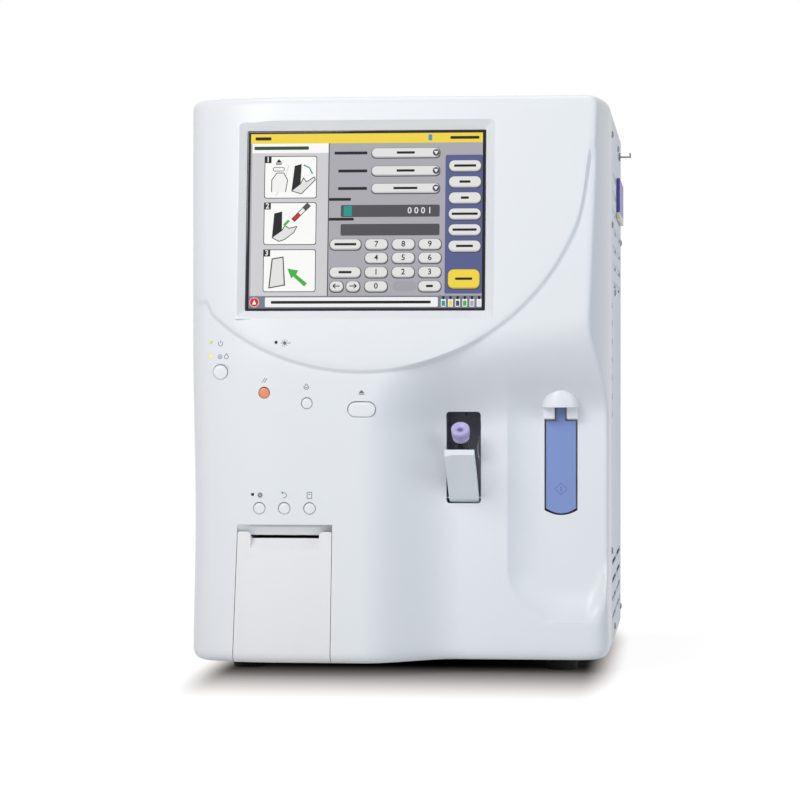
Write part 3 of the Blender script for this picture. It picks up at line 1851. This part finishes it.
    def keypad(self) -> None:
        """Middle field with its pills, entry fields and keypad."""
        for row, y in enumerate((22.5, 40.5, 58.0)):
            self.panel(88 + 4 * (row > 0), 121, y - 1.5, y + 1.4, self.INK, 0.7)
            self.button(159.5, y, 68, 9.5, self.PEARL, (18, 18, 24)[row])
            self.circle(190, y, 3.4, self.DUSK)
            self.shape([(187.8, y - 1.5), (192.2, y - 1.5), (190, y + 2.0)], self.SNOW)
        self.panel(83, 105, 67.4, 70.2, self.INK, 0.7)
        self.panel(95, 194, 74.5, 86.5, self.SHADE, 1.5)
        self.panel(98, 106, 75.5, 85.5, self.TEAL)
        self.digits("0 0 0 1", 174, 80.4, 8.6, self.PEARL)
        self.panel(83, 108, 87.2, 90.0, self.INK, 0.7)
        self.panel(95, 194, 93.5, 105.0, self.SHADE, 1.5)
        rows = ("789", "456", "123")
        for index, y in enumerate((113.8, 127.4, 141.6)):
            for x, digit in zip((131, 158, 184.5), rows[index]):
                self.button(x, y, 22.5, 10.4, self.PEARL)
                self.digits(digit, x, y - 0.2, 8.0, self.INK)
        for x, y, wide, label in ((100, 113.8, 31, 22), (100, 141.6, 31, 13), (184.5, 155.6, 22.5, 7)):
            self.button(x, y, wide, 10.4, self.PEARL, label)
        self.button(131, 155.6, 22.5, 10.4, self.PEARL)
        self.digits("0", 131, 155.4, 8.0, self.INK)
        for x, way in ((91.5, -1), (108, 1)):
            self.button(x, 155.6, 13.5, 10.4, self.PEARL)
            self.line([(x - 3.4, 155.2), (x + 3.4, 155.2)], 1.0, self.INK)
            self.line([(x + way * 0.8, 153.0), (x + way * 3.6, 155.2), (x + way * 0.8, 157.4)], 1.0, self.INK)
        self.panel(148, 171, 150.6, 160.4, scaled(self.SILVER, 0.9), 4.5)

    def build(self) -> None:
        """Draw everything and hang it on the housing."""
        self.panel(1.2, 238.8, 1.2, 178.8, srgb(18, 18, 26))
        self.panel(3.5, 236.5, 2.8, 177.2, self.SILVER)
        self.panel(3.5, 236.5, 2.8, 12.5, self.AMBER)
        self.panel(8, 24, 6.0, 9.2, self.INK, 0.8)
        self.panel(182, 186, 4.2, 10.4, srgb(90, 150, 190), 0.8)
        self.panel(204, 233, 6.2, 9.0, self.INK, 0.8)
        self.guide()
        self.panel(82.0, 83.0, 12.5, 165, self.DUSK)
        self.keypad()
        self.panel(199.5, 236.5, 25, 163, self.NAVY, 1.5)
        for y, label in zip((36.0, 52.0, 68.0, 84.0, 99.8, 116.0), (22, 11, 8, 26, 24, 17)):
            self.button(219, y, 32, 11, self.PEARL, label)
        self.button(218.5, 148.5, 31.5, 19, self.AMBER, 17)
        self.panel(3.5, 236.5, 165, 177.2, self.SLATE)
        self.circle(9.2, 171.2, 5.0, srgb(232, 190, 196))
        self.circle(9.2, 171.2, 4.2, self.RED)
        self.shape([(7.2, 173.4), (9.2, 168.4), (11.2, 173.4)], self.SNOW)
        self.panel(20, 193, 166.4, 176.0, self.SNOW, 1.2)
        self.panel(26, 186, 169.9, 172.7, self.INK, 0.8)
        bottles = (self.TEAL, self.AMBER, self.DUSK, self.GREEN, self.SILVER, self.PEARL)
        for step, colour in enumerate(bottles):
            x = 198.5 + 7.1 * step
            self.panel(x - 2.4, x + 2.4, 168.2, 176.0, self.SNOW, 0.8)
            self.panel(x - 1.2, x + 1.2, 165.6, 168.6, self.INK)
            self.panel(x - 1.7, x + 1.7, 170.0, 175.2, colour, 0.5)
        data = bpy.data.meshes.new("screen_picture")
        bmesh.ops.recalc_face_normals(self.mesh, faces=self.mesh.faces)
        for face in self.mesh.faces:
            if face.normal.y > 0:
                face.normal_flip()
        self.mesh.to_mesh(data)
        self.mesh.free()
        self.screen.shop.settle(link("screen_picture", data), "screen_picture")


@dataclass
class PrinterDoor(Assembly):
    """Printer door with rounded ears, and the printer behind it."""

    top: float = 0.1310
    core: float = 0.006
    layers: int = 30
    dip: float = 0.00012
    corners: tuple[tuple[float, int, float], ...] = (
        (-0.1400, 1, 0.0018), (-0.1280, -1, 0.0034), (-0.0660, 1, 0.0034), (-0.0548, -1, 0.0018))

    def corner(self, x: float, way: int, radius: float) -> Shape:
        """Helper solid that rounds one upper corner of an ear.

        Args:
            x: Side of the ear.
            way: 1 if the ear lies towards +X of that side, else -1.
            radius: Radius of the corner.

        Returns:
            The helper solid.
        """
        over = 0.0005
        arc = [(x + way * radius * (1 - math.cos(angle)), self.top - radius * (1 - math.sin(angle)))
               for angle in (math.pi / 2 * step / 6 for step in range(7))]
        outline = [(x - way * over, self.top + over), (x - way * over, self.top - radius), *arc,
                   (x + way * radius, self.top + over)]
        return Shape().prism(outline[::way], -0.003, 0.012)

    def build(self) -> None:
        """Make the door and the printer behind it."""
        helpers = [(Operation.CUT, self.corner(*corner)) for corner in self.corners]
        self.shop.refined("printer_door", "door_white", 0.0005, helpers=helpers)
        for node, finish in (("platen_roller", "rubber"), ("printer_chassis", "dark_plastic"),
                             ("thermal_head", "dark_plastic")):
            self.shop.refined(node, finish, 0.0003)
        self.roll()

    def roll(self) -> None:
        """Make the paper roll with its wound end faces and core."""
        low, high = (Vector(corner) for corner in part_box("paper_roll"))
        centre = (low + high) / 2
        radius = (high.z - low.z) / 2
        half = (high.x - low.x) / 2
        profile = [(self.core, -half)]
        layer = (radius - self.core) / self.layers
        for step in range(self.layers):
            inner = self.core + layer * step
            dip = self.dip if step % 2 else 0.0
            profile += [(inner + 0.00005, -half + dip), (inner + layer - 0.00005, -half + dip)]
        outside = [(radius, -half + 0.0002), (radius, half - 0.0002)]
        mirrored = [(place, -height) for place, height in profile[::-1]]
        shape = Shape().turned(profile + outside + mirrored, centre, Vector((1, 0, 0)), 64, hollow=True)
        self.shop.form("paper_roll", shape, "paper")


@dataclass
class TubeStation(Assembly):
    """Tube port with its liner, and the open tube door that carries the tube."""

    hinge_depth: float = 0.0594
    hinge_z: float = 0.160
    middle: float = 0.05995
    open_angle: float = 55.0
    lean: float = 10.0
    foot_back: float = 0.0162
    foot_drop: float = 0.0078
    radius: float = 0.0065
    length: float = 0.068
    glass: float = 0.0011
    cap_radius: float = 0.00825
    cap_low: float = 0.0652
    cap_length: float = 0.0128
    ribs: int = 40
    rib_height: float = 0.0046

    def along(self) -> Matrix:
        """Lay Z along the tube, with 0 at its foot.

        Returns:
            The matrix.
        """
        door = Matrix.Translation(at(self.middle, self.hinge_depth, self.hinge_z))
        door @= Matrix.Rotation(math.radians(self.open_angle), 4, "X")
        foot = Matrix.Translation(Vector((-0.0010, self.foot_back, -self.foot_drop)))
        return door @ foot @ Matrix.Rotation(-math.radians(self.lean), 4, "X")

    def build(self) -> None:
        """Make the station."""
        self.shop.refined("port_liner", "liner_grey", 0.0004)
        self.shop.refined("tube_door", "flap_white", 0.0008, 3)
        self.shop.refined("tube_holder", "dark_plastic", 0.0003)
        self.tube()
        self.cap()
        self.clip()

    def tube(self) -> None:
        """Make the glass tube with a round foot and even wall."""
        outer = [(SPIKE, 0.0)]
        inner = [(SPIKE, self.glass * 1.4)]
        for step in range(1, 13):
            angle = math.pi / 2 * step / 12
            outer.append((self.radius * math.sin(angle), 0.0039 * (1 - math.cos(angle))))
            inner.append(((self.radius - self.glass) * math.sin(angle),
                          self.glass * 1.4 + 0.0034 * (1 - math.cos(angle))))
        bore, round_off = self.radius - self.glass, 0.0003
        rim = [(self.radius, self.length - round_off), (self.radius - round_off, self.length),
               (bore + round_off, self.length), (bore, self.length - round_off)]
        shape = Shape().turned(outer + rim + inner[::-1], Vector(), UP, 48).turn(self.along())
        self.shop.form("sample_tube", shape, "tube_glass", 50)

    def cap(self) -> None:
        """Make the stopper cap with a dished top and fine ribs."""
        low, top, radius = self.cap_low, self.cap_low + self.cap_length, self.cap_radius
        bore = self.radius + 0.0003
        skirt, collar = bore + 0.0007, top - 0.0085
        profile = [(SPIKE, self.length + 0.0003), (bore, self.length + 0.0003), (bore, low + 0.0003),
                   (bore + 0.0002, low), (skirt - 0.0002, low), (skirt, low + 0.0004),
                   (skirt, collar - 0.0012), (skirt + 0.0003, collar - 0.0004), (radius - 0.0007, collar),
                   (radius - 0.0003, collar + 0.0005), (radius - 0.0003, top - 0.0034),
                   (radius - 0.0001, top - 0.0030), (radius, top - 0.0024)]
        for step in range(1, 6):
            angle = math.pi / 2 * step / 5
            profile.append((radius - 0.0016 * (1 - math.cos(angle)), top - 0.0016 * (1 - math.sin(angle))))
        profile += [(0.0056, top - 0.00005), (0.0049, top - 0.0004), (0.0038, top - 0.0012),
                    (0.0028, top - 0.0020), (0.0025, top - 0.0070), (SPIKE, top - 0.0072)]
        shape = Shape().turned(profile, Vector(), UP, 64).turn(self.along())
        self.shop.form("tube_cap", shape, "cap_lavender", 40)
        rib = Shape().rings([[Vector((x, y, z)) for x, y in
                              ((-0.0002, -0.00022), (0.00028, 0.0), (-0.0002, 0.00022))]
                             for z in (0.0, self.rib_height)])
        turn = self.along()
        across = turn.to_3x3()
        spots = [(turn @ (out * (radius - 0.0003) + UP * (collar + 0.0006)), across @ UP, across @ out)
                 for out in (Vector((x, y, 0)) for x, y in circle(1.0, self.ribs))]
        ribs = self.shop.scatter.run("cap_ribs", rib, spots, self.shop.finishes["cap_lavender"])
        self.shop.settle(ribs, "cap_lavender", "sample")

    def clip(self) -> None:
        """Make the latch details at the right of the port."""
        latch = Shape().box(0.0735, 0.0745, 0.064, 0.070, 0.176, 0.190)
        self.shop.piece("port_latch", latch, "unit_grey", bevel=0.0002)
        spring = [at(0.0728 - 0.0015 * math.sin(math.pi * step / 14), 0.066 + 0.0004 * step,
                     0.196 + 0.0012 * step) for step in range(15)]
        self.shop.piece("port_spring", Shape().tube(spring, 0.0004, 8), "bright_steel")
        guides = Shape()
        for start, end, radius in ((0.086, 0.100, 0.0022), (0.0850, 0.0861, 0.0014)):
            guides.rod(at(0.0708, start, 0.2319), at(0.0708, end, 0.2319), radius, 20)
        for plate in ((0.0694, 0.0735, 0.0880, 0.0940, 0.2135, 0.2150),
                      (0.0720, 0.0735, 0.0880, 0.0940, 0.2060, 0.2136),
                      (0.0715, 0.0742, 0.0800, 0.0860, 0.1920, 0.1965)):
            guides.box(*plate)
        self.shop.piece("port_guides", guides, "unit_grey", bevel=0.0002)


@dataclass
class LeverStation(Assembly):
    """Violet aspiration lever in its slot under the hood."""

    x: float = LEVER_X
    front: float = 0.0695
    mark_z: float = 0.1678
    mark_half: float = 0.0057
    mark_line: float = 0.00035
    bar_half: float = 0.0024
    lining_top: float = 0.2440

    def build(self) -> None:
        """Make the lever, its mark, the slot lining and the nozzle."""
        self.shop.refined("aspiration_lever", "lever_violet", 0.0007, 3)
        self.mark()
        self.lining()
        self.shop.refined("aspiration_nozzle", "bright_steel", 0.0002)
        for node in ("lever_bracket", "nozzle_arm"):
            self.shop.refined(node, "sheet_steel", 0.0003)

    def mark(self) -> None:
        """Print the diamond with its bar."""
        depth = self.front - 0.00006
        wide, tall = self.mark_line, self.bar_half
        shape = Shape().rings([[at(self.x + x, depth, self.mark_z + z)
                                for x, z in ((0, reach), (-reach, 0), (0, -reach), (reach, 0))]
                               for reach in (self.mark_half, self.mark_half - wide * 1.6)], caps=False)
        shape.sheet([[at(self.x + x, depth, self.mark_z + z) for x in (-wide, wide)] for z in (-tall, tall)])
        self.shop.settle(shape.to_object("lever_mark"), "ink_violet", "lever")

    def lining(self) -> None:
        """Line the slot beside and under the lever, clear of its shoulder's way up."""
        outer, inner = (lever_outline(gap, gap - 0.0002, self.lining_top)[3:-1] for gap in (0.00145, 0.00125))
        shape = Shape().prism(outer + inner[::-1], self.front + 0.0001, self.front + 0.005)
        self.shop.piece("lever_slot_lining", shape, "gap_violet")


@dataclass
class Housing(Assembly):
    """Sheet-steel body with louvres, screws, feet, flap and hook."""

    SCREWS = ((0.347, 0.497), (0.1385, 0.411), (0.456, 0.408), (0.237, 0.3505), (0.1385, 0.108),
              (0.456, 0.033), (0.237, 0.030), (0.1385, 0.495))
    REAR_SCREWS = ((-0.180, 0.500), (0.0, 0.503), (0.180, 0.500), (-0.182, 0.260), (0.182, 0.260),
                   (-0.180, 0.030), (0.0, 0.030), (0.180, 0.030), (-0.143, 0.107), (-0.143, 0.073),
                   (0.074, 0.456), (0.146, 0.456), (0.074, 0.384), (0.146, 0.384))
    SLAT = ((-0.0012, 0.0054), (-0.0004, 0.0057), (0.0017, 0.0013), (0.0012, 0.0008))
    half: float = 0.191
    rear: float = 0.47203
    pitch: float = 0.017
    seat_radius: float = 0.0037
    screw_radius: float = 0.0033
    fields: tuple[tuple[float, float, float, int], ...] = (
        (0.165, 0.290, 0.355, 7), (0.305, 0.445, 0.355, 4), (0.145, 0.170, 0.232, 7),
        (0.165, 0.300, 0.040, 4), (0.315, 0.445, 0.040, 4))

    def build(self) -> None:
        """Make the body's looks."""
        seats = Shape()
        for depth, z in self.SCREWS:
            seats.rod(at(-self.half - 0.001, depth, z), at(-self.half + 0.003, depth, z),
                      self.seat_radius, 24)
        self.shop.refined("left_side_panel", "panel_white", 0.0003, helpers=[(Operation.CUT, seats)])
        for node in ("right_side_panel", "rear_panel", "top_panel"):
            self.shop.refined(node, "panel_white", 0.0004)
        self.shop.refined("base_tray", "sheet_steel", 0.0004)
        self.shop.refined("front_bulkhead", "sheet_steel", 0.0003)
        self.slats()
        self.screws()
        self.feet()
        for node, finish in (("side_flap", "flap_violet"), ("side_flap_lip", "lip_ivory")):
            self.shop.refined(node, finish, 0.0006, 3)
        self.shop.refined("tube_hook", "screw_steel", 0.0002)

    def slats(self) -> None:
        """Set a hooded slat in every louvre slot."""
        for side in Side:
            for index, (start, end, low, count) in enumerate(self.fields):
                reach = (end - start) / 2 + 0.001
                slat = Shape().rings([[Vector((x, z, -y)) for y, z in self.SLAT] for x in (-reach, reach)])
                spots = [(at(side.value * (self.half - 0.0017), (start + end) / 2,
                             low + self.pitch * step),
                          Vector((side.value, 0, 0)), BACK * side.value) for step in range(count)]
                name = f"louvre_slats_{side.name.lower()}_{index + 1}"
                self.shop.copies(name, slat, spots, "panel_white", 40)

    def screw(self) -> Shape:
        """Domed screw head with a cross recess.

        Returns:
            The head, round its own origin.
        """
        radius = self.screw_radius
        profile = [(radius, 0.0), (radius, 0.0004), (radius * 0.93, 0.0009), (radius * 0.75, 0.0013),
                   (radius * 0.45, 0.0016), (SPIKE, 0.0017)]
        head = Shape().turned(profile, Vector(), UP, 24).to_object("screw_head")
        wide, long = radius * 0.13, radius * 0.55
        for turn in (0, math.pi / 2):
            arm = Shape().rings([[Vector((x, y, z)) for x, y in
                                  ((-long, -wide), (long, -wide), (long, wide), (-long, wide))]
                                 for z in (0.0006, 0.0030)])
            cut(head, [(Operation.CUT, arm.turn(Matrix.Rotation(turn, 4, "Z")))])
        shape = Shape()
        shape.mesh.from_mesh(head.data)
        bpy.data.objects.remove(head)
        return shape

    def screws(self) -> None:
        """Set the screws of the side and rear panels."""
        spots = []
        for side in Side:
            x = side.value * (self.half + (0.00003 if side is Side.RIGHT else -0.0017))
            spots += [(at(x, depth, z), Vector((side.value, 0, 0)), UP) for depth, z in self.SCREWS]
        spots += [(at(x, self.rear, z), BACK, UP) for x, z in self.REAR_SCREWS]
        self.shop.copies("panel_screws", self.screw(), spots, "screw_steel", 35, math.tau, 11)

    def feet(self) -> None:
        """Make ribbed rubber feet."""
        for node in ("front_left_foot", "front_right_foot", "rear_left_foot", "rear_right_foot"):
            low, high = (Vector(corner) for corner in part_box(node))
            centre = Vector(((low.x + high.x) / 2, (low.y + high.y) / 2, low.z))
            top = high.z - low.z
            profile = [(0.0118, 0.0), (0.0138, 0.0), (0.0143, 0.0005), (0.0144, 0.0020),
                       (0.0150, 0.0095), (0.0150, 0.0112), (0.0157, 0.0118), (0.0159, 0.0124),
                       (0.0159, top - 0.0008), (0.0154, top), (SPIKE, top)]
            under = [(SPIKE, 0.0016), (0.0060, 0.0016), (0.0066, 0.0010), (0.0112, 0.0010)]
            shape = Shape().turned(under + profile, centre, UP, 48)
            self.shop.form(node, shape, "rubber", 40)


@dataclass
class Rear(Assembly):
    """Fan, mains inlet and tubing ports on the rear panel."""

    wire: float = 0.0007
    hub: float = 0.2
    rings: tuple[float, ...] = (1.0, 0.80, 0.60, 0.40, 0.20)

    def build(self) -> None:
        """Make the rear's looks."""
        for node in ("fan_frame", "fan_rotor", "power_inlet", "rocker_switch"):
            self.shop.refined(node, "dark_plastic", 0.0003)
        self.guard()
        self.shop.refined("tubing_ports", "bright_steel", 0.0003)

    def guard(self) -> None:
        """Make the fan's wire guard."""
        low, high = (Vector(corner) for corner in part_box("fan_guard"))
        centre = (low + high) / 2
        reach = (high.x - low.x) / 2
        last = reach - self.wire
        shape = Shape()
        for share in self.rings:
            shape.loop([centre + Vector((x, 0.0, z)) for x, z in circle(last * share, 48)], self.wire)
        made = shape.to_object("fan_guard_rings")
        smooth_by_angle(made, 50)
        self.shop.settle(made, "bright_steel", node="fan_guard")
        spoke = Shape().rod(UP * (self.hub * reach - self.wire), UP * last, self.wire * 0.8, 8)
        spots = [(centre, Vector((x, 0, z)), BACK) for x, z in circle(1.0, 8)[1::2]]
        self.shop.copies("fan_guard_spokes", spoke, spots, "bright_steel", 50)


@dataclass
class Inside(Assembly):
    """Units, boards and hoses inside the housing."""

    UNITS = (("display_module", "unit_grey"), ("measuring_unit", "unit_grey"), ("syringe_pump", "unit_grey"),
             ("power_supply", "sheet_steel"), ("display_tray", "sheet_steel"),
             ("upper_key_board", "board_green"), ("printer_key_board", "board_green"),
             ("main_board", "board_green"), ("needle_carriage", "sheet_steel"),
             ("needle_guide", "sheet_steel"), ("piercing_needle", "bright_steel"),
             ("printer_door_pin", "bright_steel"), ("tube_door_pin", "bright_steel"),
             ("lever_pin", "bright_steel"))
    HOSES = 4
    FIRST_HOSE = 0.030
    HOSE_PITCH = 0.026
    HOSE_RADIUS = 0.0022
    ROUTE = ((0.0, 0.455, 0.120), (0.0, 0.430, 0.121), (0.006, 0.400, 0.150), (0.010, 0.380, 0.170),
             (0.012, 0.360, 0.178))

    def build(self) -> None:
        """Dress what is inside."""
        for node, finish in self.UNITS:
            self.shop.paint(node, finish)
        self.hoses()

    def curve(self, corners: Sequence[Vector], steps: int = 12) -> list[Vector]:
        """Smooth line through corners, by Catmull-Rom pieces.

        Args:
            corners: Places that it goes through.
            steps: Steps in each piece.

        Returns:
            Points along the line.
        """
        places = [corners[0] * 2 - corners[1], *corners, corners[-1] * 2 - corners[-2]]
        found = []
        for a, b, c, d in zip(places, places[1:], places[2:], places[3:]):
            for share in (step / steps for step in range(steps)):
                bend = 2 * a - 5 * b + 4 * c - d
                found.append(0.5 * (2 * b + (c - a) * share + bend * share**2
                                    + (3 * b - a - 3 * c + d) * share**3))
        return found + [corners[-1]]

    def hoses(self) -> None:
        """Run hoses from the ports to the measuring unit."""
        shape = Shape()
        for index in range(self.HOSES):
            x = self.FIRST_HOSE + self.HOSE_PITCH * index
            path = self.curve([at(x - back, depth, z) for back, depth, z in self.ROUTE])
            shape.tube(path, self.HOSE_RADIUS, 10)
        self.shop.piece("drain_hoses", shape, "hose_clear", angle=60)


@dataclass
class Studio:
    """Floor, lamps, world and camera."""

    white: Colour = (1.0, 1.0, 1.0)
    sky: Colour = (0.82, 0.91, 1.0)
    sky_strength: float = 0.30
    floor_dark: Colour = (0.78, 0.78, 0.78)
    floor_light: Colour = (0.84, 0.84, 0.84)
    floor_seen: Colour = (0.10, 0.092, 0.088)
    shadow_rim: Colour = (1.0, 0.90, 0.86)
    floor_reach: float = 6.0
    floor_glow: float = 0.94
    shadow_half: float = 0.160
    shadow_falloff: float = 9.0
    shadow_under: float = 0.137
    shadow_width: float = 0.35
    middle: Place = (0, 0, 0.27)
    lamps: tuple[tuple[str, Place, float, float, Colour], ...] = (
        ("key_lamp", (-0.75, -1.9, 1.25), 1.0, 21.6, (1.0, 0.98, 0.955)),
        ("fill_lamp", (1.7, -1.6, 0.9), 1.4, 8.5, (0.84, 0.92, 1.0)),
        ("top_lamp", (0.0, 0.1, 2.2), 1.2, 10.0, (0.97, 0.98, 1.0)))
    lens: float = 137.07
    camera_place: Place = (0.264, -2.9395, 0.2684)
    camera_down: float = 0.41
    camera_aside: float = 5.57

    def world(self) -> None:
        """Even light from all round, seen as white."""
        world = bpy.data.worlds.new("studio")
        bpy.context.scene.world = world
        world.use_nodes = True
        nodes = Nodes(world.node_tree)
        soft, seen = (nodes.add("ShaderNodeBackground", {}, {"Color": colour, "Strength": strength})
                      for colour, strength in ((self.sky, self.sky_strength), (self.white, 1.0)))
        mix = nodes.add("ShaderNodeMixShader", {}, {0: nodes.looked_at(), 1: soft, 2: seen})
        nodes.feed(world.node_tree.nodes["World Output"].inputs["Surface"], mix)

    def floor(self) -> None:
        """Pale floor that looks white but keeps the object's shadow."""
        graph = Graph("studio_floor")
        seen = graph.looked_at()
        pale = graph.mixed(graph.noise(3.0, 4.0), self.floor_dark, self.floor_light)
        graph.finish(Base_Color=graph.mixed(seen, pale, self.floor_seen), Roughness=0.9,
                     Specular_IOR_Level=0.0)
        where = graph.add("ShaderNodeSeparateXYZ", {}, {0: graph.place()})
        across, ahead = (where.other(axis).maths("ABSOLUTE") for axis in (0, 1))
        beside = (across - self.shadow_half).maths("MAXIMUM", 0.0) * self.shadow_falloff
        before = (ahead - (-FRONT_Y - self.shadow_under)).maths("MAXIMUM", 0.0)
        share = ((beside * beside + before * before).maths("POWER", 0.5) / self.shadow_width).clamped()
        rise = share * share * (3.0 - 2.0 * share)
        away = ((across.maths("MAXIMUM", ahead) - 0.24) / 0.2).clamped() * (1.0 - self.floor_glow)
        glow = graph.add("ShaderNodeEmission", {},
                         {"Color": graph.mixed(rise, self.shadow_rim, self.white),
                          "Strength": seen * rise * (away + self.floor_glow)})
        lit = Value(graph, graph.shader.outputs[0])
        graph.feed(graph.output.inputs["Surface"], graph.add("ShaderNodeAddShader", {}, {0: lit, 1: glow}))
        reach = self.floor_reach
        made = Shape().sheet([[Vector((x, y, 0)) for x in (-reach, reach)]
                              for y in (-reach, reach)]).to_object("studio_floor")
        if made.data.polygons[0].normal.z < 0:
            made.data.flip_normals()
        made.data.materials.append(graph.material)

    def lamp(self, name: str, place: Place, size: float, power: float, colour: Colour) -> None:
        """Set an area lamp that points at the middle of the object.

        Args:
            name: Its name.
            place: Where it hangs.
            size: Edge of its square.
            power: Watts.
            colour: Its colour.
        """
        light = bpy.data.lights.new(name, "AREA")
        light.energy = power
        light.size = size
        light.color = colour
        made = link(name, light)
        made.location = place
        made.rotation_euler = (Vector(self.middle) - made.location).to_track_quat("-Z", "Y").to_euler()

    def camera(self) -> None:
        """Set the camera where the photograph was taken from."""
        data = bpy.data.cameras.new("camera")
        data.lens = self.lens
        data.sensor_width = 36.0
        made = link("camera", data)
        made.location = self.camera_place
        made.rotation_euler = (math.radians(90 - self.camera_down), 0, math.radians(self.camera_aside))
        bpy.context.scene.camera = made

    def build(self) -> None:
        """Build the studio."""
        self.camera()
        self.world()
        self.floor()
        for lamp in self.lamps:
            self.lamp(*lamp)
        bpy.context.scene.view_settings.view_transform = "Standard"


def main() -> None:
    """Build the looks of the analyzer round its frame."""
    logging.basicConfig(level=logging.INFO, format="%(message)s")
    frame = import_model()
    for item in [item for item in bpy.data.objects if item.type in {"LIGHT", "CAMERA"}]:
        bpy.data.objects.remove(item)
    shop, face = Workshop(frame, Finishes()), Face()
    keys, screen = Keys(shop, face), Screen(shop, face)
    Studio().build()
    parts = (Cover(shop, face, keys, screen), keys, screen, PrinterDoor(shop), TubeStation(shop),
             LeverStation(shop), Housing(shop), Rear(shop), Inside(shop))
    for part in parts:
        before = len(shop.made)
        part.build()
        for name in shop.made[before:]:
            LOG.info("%s: %s", type(part).__name__, name)


if __name__ == "__main__":
    main()
